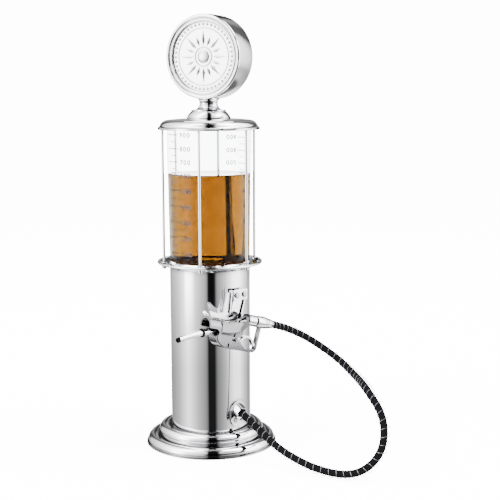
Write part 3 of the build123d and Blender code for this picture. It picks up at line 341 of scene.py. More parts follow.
def smudge_group(wide_scale: float = 38.0, fine_scale: float = 420.0, clean: float = 0.48,
                 fine_share: float = 0.12) -> bpy.types.NodeTree:
    """Roughness with soft handling smudges.

    Args:
        wide_scale: Noise scale of the smudges, per metre.
        fine_scale: Noise scale of the speckle in them.
        clean: Noise level under which the surface is clean.
        fine_share: Strength of the speckle.

    Returns:
        A group with inputs Roughness and Amount and output Roughness.
    """
    tree, graph, source, sink = new_group(
        "smudges", (("Roughness", 0.1), ("Amount", 0.1)), ("Roughness", "NodeSocketFloat"))
    place = graph.add("TexCoord")
    wide = graph.add("TexNoise", Scale=wide_scale, Detail=5.0, Roughness=0.62)
    fine = graph.add("TexNoise", Scale=fine_scale, Detail=3.0, Roughness=0.5)
    graph.link(place.outputs["Object"], wide.inputs["Vector"])
    graph.link(place.outputs["Object"], fine.inputs["Vector"])
    soft = graph.math("SMOOTH_MAX", graph.math("SUBTRACT", wide.outputs["Fac"], clean), 0.0, 0.1)
    mixed = graph.math("ADD", soft, graph.math("MULTIPLY", fine.outputs["Fac"], fine_share))
    spread = graph.math("MULTIPLY", mixed, source.outputs["Amount"])
    graph.link(graph.math("ADD", spread, source.outputs["Roughness"]), sink.inputs["Roughness"])
    return tree


def grain_group() -> bpy.types.NodeTree:
    """Fine cast or moulded texture as a bump normal.

    Returns:
        A group with inputs Size and Height and output Normal.
    """
    tree, graph, source, sink = new_group(
        "grain", (("Size", 900.0), ("Height", 0.0001)), ("Normal", "NodeSocketVector"))
    place = graph.add("TexCoord")
    noise = graph.add("TexNoise", Detail=2.0, Roughness=0.55)
    graph.link(place.outputs["Object"], noise.inputs["Vector"])
    graph.link(source.outputs["Size"], noise.inputs["Scale"])
    bump = graph.add("Bump", Strength=1.0)
    graph.link(source.outputs["Height"], bump.inputs["Distance"])
    graph.link(noise.outputs["Fac"], bump.inputs["Height"])
    graph.link(bump.outputs["Normal"], sink.inputs["Normal"])
    return tree


def crevice_group() -> bpy.types.NodeTree:
    """Painted shade where surfaces crowd each other, for metals' base colour.

    Returns:
        A group with inputs Reach and Depth and output Shade, which is 1 in the open.
    """
    tree, graph, source, sink = new_group(
        "crevices", (("Reach", 0.006), ("Depth", 0.92)), ("Shade", "NodeSocketFloat"))
    open_sky = graph.add("AmbientOcclusion", samples=8)
    graph.link(source.outputs["Reach"], open_sky.inputs["Distance"])
    closed = graph.math("SUBTRACT", 1.0, graph.math("POWER", open_sky.outputs["AO"], 2.0))
    depth = graph.math("MULTIPLY", closed, source.outputs["Depth"])
    graph.link(graph.math("SUBTRACT", 1.0, depth), sink.inputs["Shade"])
    return tree


@dataclass
class Palette:
    """Builds and hands out the materials."""

    smudges: bpy.types.NodeTree = field(default_factory=smudge_group)
    grain: bpy.types.NodeTree = field(default_factory=grain_group)
    crevices: bpy.types.NodeTree = field(default_factory=crevice_group)
    made: dict[str, bpy.types.Material] = field(default_factory=dict)

    def material(self, finish: Finish) -> bpy.types.Material:
        """Gives a finish's material, building it once.

        Args:
            finish: The finish asked for.

        Returns:
            Its material.
        """
        if finish.name not in self.made:
            material = bpy.data.materials.new(finish.name)
            material.use_nodes = True
            graph = Graph(material.node_tree)
            shader = self.shader(graph, finish)
            output = graph.add("OutputMaterial")
            graph.link(shader.outputs[0], output.inputs["Surface"])
            if finish.density:
                depth = graph.add("VolumeAbsorption", Color=(*finish.colour, 1.0),
                                  Density=finish.density)
                graph.link(depth.outputs[0], output.inputs["Volume"])
            self.made[finish.name] = material
        return self.made[finish.name]

    def shader(self, graph: Graph, finish: Finish) -> bpy.types.Node:
        """Builds the surface shader of a finish.

        Args:
            graph: Node helper of the material.
            finish: The finish.

        Returns:
            The shader node.
        """
        colour = (*finish.colour, 1.0)
        shader = graph.add("BsdfPrincipled", Base_Color=colour, Roughness=finish.roughness)
        for socket, value in SHADING[finish.surface].items():
            shader.inputs[socket].default_value = value
        # The glowing surface gives off its colour as painted light.
        if finish.surface is Surface.DARK:
            shader.inputs["Emission Color"].default_value = colour
        # Painted shade: ambient occlusion mixes near-black into every metal's base colour where parts
        # crowd each other.
        if finish.surface is Surface.METAL:
            crevice_shade_node = graph.add("Group", node_tree=self.crevices)
            shaded = graph.add("Mix", data_type="RGBA")
            graph.link(crevice_shade_node.outputs["Shade"], shaded.inputs[0])
            shaded.inputs[6].default_value = PAINTED_CREVICE_SHADE
            shaded.inputs[7].default_value = colour
            graph.link(shaded.outputs[2], shader.inputs["Base Color"])
        if finish.wear:
            smudge = graph.add("Group", node_tree=self.smudges)
            smudge.inputs["Roughness"].default_value = finish.roughness
            smudge.inputs["Amount"].default_value = finish.wear
            graph.link(smudge.outputs["Roughness"], shader.inputs["Roughness"])
        if finish.grain:
            grain = graph.add("Group", node_tree=self.grain)
            grain.inputs["Size"].default_value = finish.grain_size
            grain.inputs["Height"].default_value = finish.grain
            graph.link(grain.outputs["Normal"], shader.inputs["Normal"])
        return shader


# ----------------------------------------------------------------------- meshes
def linked_object(name: str, data: bpy.types.ID) -> bpy.types.Object:
    """Puts an object with the given data in the scene.

    Args:
        name: Object name.
        data: Its mesh, curve, camera or lamp.

    Returns:
        The object, at the origin.
    """
    item = bpy.data.objects.new(name, data)
    bpy.context.scene.collection.objects.link(item)
    return item


def evaluated_mesh(data: bpy.types.Curve) -> bpy.types.Mesh:
    """Turns a curve or text into a mesh and takes its object away.

    Args:
        data: The curve or text.

    Returns:
        The mesh that Blender makes of it.
    """
    holder = linked_object(data.name, data)
    bpy.context.view_layer.update()
    graph = bpy.context.evaluated_depsgraph_get()
    mesh = bpy.data.meshes.new_from_object(holder.evaluated_get(graph))
    bpy.data.objects.remove(holder)
    return mesh


def mesh_object(name: str, build: Callable[[bmesh.types.BMesh], None],
                smooth: float = 40.0) -> bpy.types.Object:
    """Makes a mesh object at the origin.

    Args:
        name: Object name.
        build: Fills the bmesh, in the row frame.
        smooth: Edges sharper than this many degrees stay crisp.

    Returns:
        The linked object.
    """
    shape = bmesh.new()
    build(shape)
    bmesh.ops.recalc_face_normals(shape, faces=shape.faces)
    limit = math.radians(smooth)
    for face in shape.faces:
        face.smooth = True
    for edge in shape.edges:
        edge.smooth = edge.is_manifold and edge.calc_face_angle(0.0) < limit
    data = bpy.data.meshes.new(name)
    shape.to_mesh(data)
    shape.free()
    LOG.info("%s: %d faces", name, len(data.polygons))
    return linked_object(name, data)


def spin_outline(shape: bmesh.types.BMesh, points: Sequence[Vector], angle: float, steps: int
                 ) -> None:
    """Spins a closed outline about Z into a closed solid.

    Args:
        shape: Mesh to add to.
        points: The outline's corners; one or two of them may lie on the axis.
        angle: How far it is spun.
        steps: Segments of the spin.
    """
    known = set(shape.verts)
    corners = [shape.verts.new(point) for point in points]
    edges = [shape.edges.new(pair) for pair in zip(corners, corners[1:] + corners[:1])
             if max(corner.co.xy.length for corner in pair) > WELD]
    made = bmesh.ops.spin(shape, geom=[*corners, *edges], cent=(0.0, 0.0, 0.0), axis=UP,
                          angle=angle, steps=steps, use_merge=angle == FULL_TURN)
    if angle == FULL_TURN:
        fresh = [vertex for vertex in shape.verts if vertex not in known]
        bmesh.ops.remove_doubles(shape, verts=fresh, dist=WELD)
    else:
        ends = [item for item in made["geom_last"] if isinstance(item, bmesh.types.BMEdge)]
        bmesh.ops.holes_fill(shape, edges=[*edges, *ends], sides=0)


def revolve(shape: bmesh.types.BMesh, outline: Sequence[tuple[float, float]], steps: int,
            place: Matrix | None = None) -> None:
    """Adds a closed solid of revolution about Z.

    Args:
        shape: Mesh to add to.
        outline: Closed outline as (radius, height) points.
        steps: Segments round the axis.
        place: Transform put on the finished solid.
    """
    known = set(shape.verts)
    points = [Vector((radius, 0.0, height)) for radius, height in outline]
    spin_outline(shape, points, FULL_TURN, steps)
    if place is not None:
        fresh = [vertex for vertex in shape.verts if vertex not in known]
        bmesh.ops.transform(shape, matrix=place, verts=fresh)


def dome_outline(radius: float, rise: float, steps: int) -> list[tuple[float, float]]:
    """Quarter-ellipse section of a small dome.

    Args:
        radius: Radius at the foot.
        rise: Height of the crown.
        steps: Segments from foot to crown.

    Returns:
        Closed outline as (radius, height) points.
    """
    turns = [math.pi / 2 * i / steps for i in range(1, steps)]
    curve = [(radius * math.cos(turn), rise * math.sin(turn)) for turn in turns]
    return [(0.0, 0.0), (radius, 0.0), *curve, (0.0, rise)]


def frames_along(path: Sequence[Vector]) -> list[tuple[Vector, Vector, Vector]]:
    """Twist-free frames along a path.

    Args:
        path: Points along the line.

    Returns:
        (normal, binormal, tangent) at each point.
    """
    tangents = []
    for i in range(len(path)):
        before, after = path[max(i - 1, 0)], path[min(i + 1, len(path) - 1)]
        tangents.append((after - before).normalized())
    normal = tangents[0].orthogonal().normalized()
    found = []
    for tangent in tangents:
        normal = (normal - tangent * normal.dot(tangent)).normalized()
        found.append((normal.copy(), tangent.cross(normal), tangent))
    return found


def tube(shape: bmesh.types.BMesh, path: Sequence[Vector], radius: float, sides: int) -> None:
    """Rolls a grid into a capped round tube along a path.

    Args:
        shape: Empty mesh to fill.
        path: Centreline points.
        radius: Tube radius.
        sides: Sides round the tube.
    """
    last = len(path) - 1
    frames = frames_along(path)
    grid = bmesh.ops.create_grid(shape, x_segments=sides, y_segments=last, size=0.5)
    for vertex in grid["verts"]:
        turn = FULL_TURN * round((vertex.co.x + 0.5) * sides) / sides
        index = round((vertex.co.y + 0.5) * last)
        normal, binormal, _ = frames[index]
        vertex.co = path[index] + (normal * math.cos(turn) + binormal * math.sin(turn)) * radius
    bmesh.ops.remove_doubles(shape, verts=shape.verts, dist=WELD)
    bmesh.ops.holes_fill(shape, edges=shape.edges, sides=0)


def dress(item: bpy.types.Object, material: bpy.types.Material, body: str) -> None:
    """Gives a piece its material and the body it rides on.

    Args:
        item: The piece.
        material: Its material.
        body: CAD body it moves with.
    """
    item.data.materials.clear()
    item.data.materials.append(material)
    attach(item, body)
    LOG.info("%s rides on %s", item.name, body)


# --------------------------------------------------------------- sub-assemblies
@dataclass
class Drink:
    """Amber drink in the tank."""

    palette: Palette
    size: TankSize = TANK
    overlap: float = 0.0002
    floor_gap: float = 0.00012
    corner_steps: int = 6
    wall_shares: tuple[float, ...] = (0.02, 0.5, 1.0)
    climb: float = 0.0011
    meniscus: tuple[tuple[float, float], ...] = ((0.0005, 0.0006), (0.0012, 0.00025), (0.0024, 0.0))
    dregs_share: float = 0.9
    sides: int = 128

    def outline(self) -> list[tuple[float, float]]:
        """Section of the drink with its meniscus.

        Returns:
            Closed outline as (radius, height) points.
        """
        size, corner, level = self.size, self.size.corner, self.size.fill_level
        floor = size.floor_top + self.floor_gap
        points = [(0.0, floor), (size.inner(floor) - corner, floor)]
        for i in range(1, self.corner_steps):
            turn = math.pi / 2 * i / self.corner_steps
            points.append((size.inner(floor + corner) + self.overlap - corner * (1 - math.sin(turn)),
                           floor + corner * (1 - math.cos(turn))))
        for share in self.wall_shares:
            height = floor + corner + (level + self.climb - floor - corner) * share
            points.append((size.inner(height) + self.overlap, height))
        for reach, rise in self.meniscus:
            points.append((size.inner(level) - reach, level + rise))
        points.append((0.0, level))
        return points

    def build(self) -> None:
        """Makes the drink; its floor faces glow dark brown, a painted stand-in for the dark look of
        its bottom.
        """
        item = mesh_object("drink", lambda shape: revolve(shape, self.outline(), self.sides),
                           smooth=50.0)
        dress(item, self.palette.material(DRINK), "stand")
        item.data.materials.append(self.palette.material(DRINK_FLOOR_GLOW))
        # Faces low in the bottom corner get the painted glow.
        low = self.size.floor_top + self.size.corner * self.dregs_share
        for face in item.data.polygons:
            if face.center.z < low:
                face.material_index = 1


@dataclass
class ScalePrint:
    """Graduations and plain numbers on the tank's outside, in front and behind."""

    palette: Palette
    size: TankSize = TANK
    levels: dict[int, float] = field(default_factory=lambda: {
        100: 0.2279, 200: 0.2457, 300: 0.2636, 400: 0.2814, 500: 0.2992,
        600: 0.3163, 700: 0.3313, 800: 0.3460, 900: 0.3614,
    })
    spacing: int = 100
    first_gap: float = 0.0178
    lift: float = 0.00004
    depth: float = 0.00008
    rule_turn: float = math.radians(-88.5)
    rule_half: float = 0.003
    rule_below: float = 0.0074
    rule_above: float = 0.0030
    major: float = math.radians(26.0)
    major_over: float = math.radians(1.2)
    minor: float = math.radians(11.0)
    minor_start: float = math.radians(4.0)
    bold: float = 0.00043
    thin: float = 0.00036
    strip_step: float = math.radians(3.0)
    number_turn: float = math.radians(-84.0)
    number_height: float = 0.0054
    number_stretch: float = 1.12
    font_share: float = 1.38
    letter_gap: float = 1.22
    stroke: float = 0.00017
    back_drop: float = 0.0055

    def on_wall(self, turn: float, level: float, out: float) -> Vector:
        """Point at an angle and a height, so far outside the tank's wall."""
        radius = self.size.outer(level) + out
        return Vector((radius * math.cos(turn), radius * math.sin(turn), level))

    def strip(self, shape: bmesh.types.BMesh, turns: tuple[float, float],
              levels: tuple[float, float]) -> None:
        """Adds a thin raised strip on the wall.

        Args:
            shape: Mesh to add to.
            turns: Start and end angle.
            levels: Low and high edge.
        """
        (start, stop), (low, high) = turns, levels
        steps = max(1, round((stop - start) / self.strip_step))
        raised = self.lift + self.depth
        section = ((low, self.lift), (low, raised), (high, raised), (high, self.lift))
        points = [self.on_wall(start, level, out) for level, out in section]
        spin_outline(shape, points, stop - start, steps)

    def marks(self, shape: bmesh.types.BMesh, side: float) -> None:
        """Adds the rule and its graduations.

        Args:
            shape: Mesh to add to.
            side: Angle added to the front scale's angles.
        """
        rule = self.rule_turn + side
        drop = self.back_drop if side else 0.0
        for value, printed in self.levels.items():
            level = printed - drop
            below = self.levels.get(value - self.spacing, printed - self.first_gap) - drop
            half = (level + below) / 2
            self.strip(shape, (rule - self.major, rule + self.major_over),
                       (level - self.bold, level + self.bold))
            self.strip(shape, (rule - self.minor - self.minor_start, rule - self.minor_start),
                       (half - self.thin, half + self.thin))
        low = min(self.levels.values()) - self.rule_below
        high = max(self.levels.values()) + self.rule_above - drop
        self.strip(shape, (rule - self.rule_half, rule + self.rule_half), (low, high))

    def number(self, value: int, side: float) -> bpy.types.Object:
        """Makes one number wrapped on the wall.

        Args:
            value: The number.
            side: Angle added to the front scale's angles.

        Returns:
            The number's object.
        """
        text = bpy.data.curves.new(f"number_{value}", "FONT")
        text.body = str(value)
        text.size = self.number_height * self.font_share
        text.space_character = self.letter_gap
        text.extrude = self.depth / 2
        text.offset = self.stroke
        text.resolution_u = 3
        data = evaluated_mesh(text)
        shape = bmesh.new()
        shape.from_mesh(data)
        bmesh.ops.remove_doubles(shape, verts=shape.verts, dist=WELD)
        level = self.levels[value] - self.number_height / 2 - (self.back_drop if side else 0.0)
        radius = self.size.outer(level)
        middle = self.lift + self.depth / 2
        for vertex in shape.verts:
            turn = self.number_turn + side + vertex.co.x * self.number_stretch / radius
            vertex.co = self.on_wall(turn, level + vertex.co.y, middle + vertex.co.z)
        bmesh.ops.recalc_face_normals(shape, faces=shape.faces)
        shape.to_mesh(data)
        shape.free()
        data.name = f"scale_number_{value}_{'back' if side else 'front'}"
        return linked_object(data.name, data)

    def build(self) -> None:
        """Makes both scales."""
        material = self.palette.material(PRINT)
        for side, label in ((0.0, "front"), (math.pi, "back")):
            lines = mesh_object(f"scale_{label}", lambda shape, turn=side: self.marks(shape, turn))
            dress(lines, material, "stand")
            for value in self.levels:
                dress(self.number(value, side), material, "stand")


@dataclass
class Hose:
    """Flexible hose with its steel wire coil, bent between column and nozzle."""

    palette: Palette
    radius: float = 0.004
    sides: int = 28
    boss: Vector = field(default_factory=lambda: Vector((0.0466, 0.0, 0.0471)))
    droop: float = math.radians(25.0)
    gland_depth: float = 0.0046
    first_run: float = 0.039
    route: tuple[tuple[float, float, float], ...] = (
        (0.1245, -0.0065, 0.0175), (0.1715, 0.0015, 0.0055), (0.2133, 0.0174, 0.0055),
        (0.2360, 0.0321, 0.0317), (0.2325, 0.0401, 0.0683), (0.2010, 0.0463, 0.0934),
        (0.1545, 0.0840, 0.0900), (0.1000, 0.1060, 0.1025),
    )
    last_run: float = 0.037
    ferrule_back: float = 0.0631
    ferrule_rise: float = 0.0119
    wire_radius: float = 0.00032
    wire_sides: int = 8
    wire_steps: int = 22
    wire_start: float = 0.0052
    wire_stop: float = 0.0012
    wire_sink: float = 0.85
    pitches: tuple[float, ...] = (0.0096, 0.0098, 0.0078, 0.0094, 0.0116, 0.0052)
    slack: float = 0.0011
    table_room: float = 1.5
    loop_centre: Vector = field(default_factory=lambda: Vector((0.150, 0.030, 0.085)))

    def corners(self) -> list[Vector]:
        """Corner points of the hose's route.

        Returns:
            The route from the boss to the nozzle's ferrule.
        """
        out = Vector((math.cos(self.droop), 0.0, -math.sin(self.droop)))
        start = self.boss + out * self.gland_depth
        end = NOZZLE.origin + NOZZLE.back * self.ferrule_back + NOZZLE.up * self.ferrule_rise
        between = [Vector(point) for point in self.route]
        return [start, start + out * self.first_run, *between, end + NOZZLE.back * self.last_run, end]

    def centreline(self) -> list[Vector]:
        """Samples the hose's centreline.

        Returns:
            Closely spaced points from the boss to the ferrule.
        """
        data = bpy.data.curves.new("hose_line", "CURVE")
        data.dimensions = "3D"
        data.resolution_u = 24
        line = data.splines.new("NURBS")
        corners = self.corners()
        line.points.add(len(corners) - 1)
        for target, corner in zip(line.points, corners):
            target.co = (*corner, 1.0)
        line.order_u = 3
        line.use_endpoint_u = True
        mesh = evaluated_mesh(data)
        path = [vertex.co.copy() for vertex in mesh.vertices]
        bpy.data.meshes.remove(mesh)
        return path

    def pitch_at(self, share: float) -> float:
        """Distance between the wire's turns.

        Args:
            share: Place along the hose, from 0 to 1.

        Returns:
            The pitch there.
        """
        spot = share * (len(self.pitches) - 1)
        low = min(int(spot), len(self.pitches) - 2)
        return self.pitches[low] + (self.pitches[low + 1] - self.pitches[low]) * (spot - low)

    def coil_path(self, path: Sequence[Vector]) -> list[Vector]:
        """Helix round the hose that sags outwards a little in the loop.

        Args:
            path: The hose's centreline.

        Returns:
            The wire's centreline.
        """
        lengths = [0.0]
        for before, after in zip(path, path[1:]):
            lengths.append(lengths[-1] + (after - before).length)
        total = lengths[-1]
        frames = frames_along(path)
        snug = self.radius + self.wire_radius * self.wire_sink
        points: list[Vector] = []
        travelled, turn, index = self.wire_start, 0.0, 0
        while travelled < total - self.wire_stop:
            while lengths[index + 1] < travelled:
                index += 1
            share = (travelled - lengths[index]) / (lengths[index + 1] - lengths[index])
            centre = path[index].lerp(path[index + 1], share)
            normal = frames[index][0].lerp(frames[index + 1][0], share).normalized()
            binormal = frames[index][1].lerp(frames[index + 1][1], share).normalized()
            room = (centre.z - snug - self.wire_radius * self.table_room) / 2
            slack = max(0.0, min(self.slack * math.sin(math.pi * travelled / total), room))
            outward = centre - self.loop_centre
            outward -= frames[index][2] * outward.dot(frames[index][2])
            ring = (normal * math.cos(turn) + binormal * math.sin(turn)) * (snug + slack)
            points.append(centre + outward.normalized() * slack + ring)
            travelled += self.pitch_at(travelled / total) / self.wire_steps
            turn += FULL_TURN / self.wire_steps
        return points

    def build(self) -> None:
        path = self.centreline()
        body = mesh_object("hose_tube", lambda shape: tube(shape, path, self.radius, self.sides),
                           smooth=60.0)
        wire = self.coil_path(path)
        coil = mesh_object("hose_coil",
                           lambda shape: tube(shape, wire, self.wire_radius, self.wire_sides),
                           smooth=70.0)
        for item, finish in ((body, BLACK), (coil, WIRE)):
            item.data.materials.append(self.palette.material(finish))
            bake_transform(item)
        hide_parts("hose")


@dataclass
class ValveSpring:
    """Coil spring over the nozzle's valve, which on the real nozzle shortens as the stem rises; here
    it is built at one length.
    """

    palette: Palette
    along: float = 0.0196
    low: float = 0.00175
    height: float = 0.0055
    radius: float = 0.0022
    wire_radius: float = 0.00035
    wire_sides: int = 10
    turns: int = 4
    steps: int = 24
    travel: float = 0.0025

    def build(self) -> None:
        """Makes the spring in place of the CAD one."""
        foot = NOZZLE.origin + NOZZLE.back * self.along + NOZZLE.up * self.low
        side = Vector((1.0, 0.0, 0.0))
        total = self.turns * self.steps
        path = []
        for i in range(total + 1):
            turn = FULL_TURN * i / self.steps
            ring = (side * math.cos(turn) + NOZZLE.back * math.sin(turn)) * self.radius
            path.append(foot + ring + NOZZLE.up * (self.height * i / total))
        item = mesh_object("valve_spring_coil",
                           lambda shape: tube(shape, path, self.wire_radius, self.wire_sides),
                           smooth=60.0)
        dress(item, self.palette.material(SPRING), "nozzle")
        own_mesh(item)
        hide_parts("valve_spring")


@dataclass(frozen=True)
class Hoop:
    """One half-round ring on the sign's face."""

    radius: float
    half: float
    rise: float


@dataclass
class SignFace:
    """Raised plain pattern on the sign: a beaded ring round a rayed rosette."""

    palette: Palette
    centre_height: float = 0.4476
    turn: float = math.radians(20.0)
    set_back: float = 0.0025
    face_out: float = 0.0136
    hoops: tuple[Hoop, ...] = (Hoop(0.0398, 0.0005, 0.0005), Hoop(0.0318, 0.0005, 0.0006),
                               Hoop(0.0105, 0.0006, 0.0008))
    hoop_steps: int = 8
    hoop_sides: int = 120
    boss_radius: float = 0.0074
    boss_rise: float = 0.0016
    boss_sides: int = 64
    beads: int = 44
    bead_circle: float = 0.0358
    bead_radius: float = 0.00135
    bead_rise: float = 0.0009
    bead_sides: int = 14
    rays: int = 16
    ray_root: float = 0.0122
    ray_belly: float = 0.0175
    ray_tips: tuple[float, float] = (0.0298, 0.0238)
    ray_half: float = 0.0021
    ray_rise: float = 0.0010

    def place(self) -> Matrix:
        """Frame on the face with +Z out of it.

        Returns:
            The face's matrix.
        """
        turn = Matrix.Rotation(self.turn, 4, "Z")
        back = Matrix.Translation((0.0, self.set_back, self.centre_height))
        stand = Matrix.Rotation(math.radians(90.0), 4, "X")
        return turn @ back @ stand @ Matrix.Translation((0.0, 0.0, self.face_out))

    def rings(self, shape: bmesh.types.BMesh) -> None:
        """Adds the plain rings and the centre boss.

        Args:
            shape: Mesh to add to.
        """
        for hoop in self.hoops:
            outline = [(hoop.radius - hoop.half, 0.0)]
            for i in range(1, self.hoop_steps):
                turn = math.pi * (1 - i / self.hoop_steps)
                outline.append((hoop.radius + hoop.half * math.cos(turn), hoop.rise * math.sin(turn)))
            outline.append((hoop.radius + hoop.half, 0.0))
            revolve(shape, outline, self.hoop_sides, self.place())
        boss = dome_outline(self.boss_radius, self.boss_rise, 8)
        revolve(shape, boss, self.boss_sides, self.place())

    def bead_ring(self, shape: bmesh.types.BMesh) -> None:
        """Adds the ring of small domes.

        Args:
            shape: Mesh to add to.
        """
        dome = dome_outline(self.bead_radius, self.bead_rise, 4)
        for i in range(self.beads):
            turn = Matrix.Rotation(FULL_TURN * i / self.beads, 4, "Z")
            spot = turn @ Vector((self.bead_circle, 0.0, 0.0))
            revolve(shape, dome, self.bead_sides, self.place() @ Matrix.Translation(spot))

    def ray_ring(self, shape: bmesh.types.BMesh) -> None:
        """Adds the roof-shaped rays, long and short in turn.

        Args:
            shape: Mesh to add to.
        """
        root, belly, half = self.ray_root, self.ray_belly, self.ray_half
        for i in range(self.rays):
            spin = self.place() @ Matrix.Rotation(FULL_TURN * i / self.rays, 4, "Z")
            corners = [(root, 0.0, 0.0), (belly, -half, 0.0), (self.ray_tips[i % 2], 0.0, 0.0),
                       (belly, half, 0.0), (belly, 0.0, self.ray_rise)]
            made = [shape.verts.new(spin @ Vector(corner)) for corner in corners]
            bmesh.ops.convex_hull(shape, input=made)

    def build(self) -> None:
        """Makes the pattern's pieces."""
        material = self.palette.material(RELIEF)
        for name, build in (("face_rings", self.rings), ("face_beads", self.bead_ring),
                            ("face_rays", self.ray_ring)):
            dress(mesh_object(name, build), material, "sign")


# ----------------------------------------------------------------------- studio
@dataclass(frozen=True)
class CameraFit:
    """Viewpoint of the camera, turned about the tower's axis."""

    azimuth: float = math.radians(49.0)
    distance: float = 1.2609
    height: float = 0.41225
    pitch: float = math.radians(8.355)
    yaw: float = math.radians(2.113)
    roll: float = math.radians(-0.177)
    lens: float = 79.21

    def matrix(self) -> Matrix:
        """Camera matrix in the row frame.

        Returns:
            The camera's world matrix.
        """
        right = Vector((math.cos(self.azimuth), math.sin(self.azimuth), 0.0))
        away = Vector((-math.sin(self.azimuth), math.cos(self.azimuth), 0.0))
        side = right * math.cos(self.yaw) - away * math.sin(self.yaw)
        level = right * math.sin(self.yaw) + away * math.cos(self.yaw)
        ahead = level * math.cos(self.pitch) - UP * math.sin(self.pitch)
        above = level * math.sin(self.pitch) + UP * math.cos(self.pitch)
        rolled_side = side * math.cos(self.roll) + above * math.sin(self.roll)
        rolled_above = above * math.cos(self.roll) - side * math.sin(self.roll)
        frame = Matrix((rolled_side, rolled_above, -ahead)).transposed().to_4x4()
        frame.translation = -away * self.distance + UP * self.height
        return frame


@dataclass(frozen=True)
class Card:
    """One flag or reflector in the surround.

    Attributes:
        left: Left edge, in degrees to the right of the camera, or as a share aside.
        right: Right edge, in the same measure.
        low: Sine of the lower edge's elevation.
        high: Sine of the upper edge's elevation.
        gain: Factor on the surround's glow.
    """

    left: float
    right: float
    low: float
    high: float
    gain: float


@dataclass(frozen=True)
class Lamp:
    """One soft area lamp aimed at the tower.

    Attributes:
        name: Lamp name.
        azimuth: Degrees from the camera's side, positive to the right.
        height: Height above the table.
        distance: Distance from the axis.
        size: Width and height of the lamp.
        power: Watts.
    """

    name: str
    azimuth: float
    height: float
    distance: float
    size: tuple[float, float]
    power: float


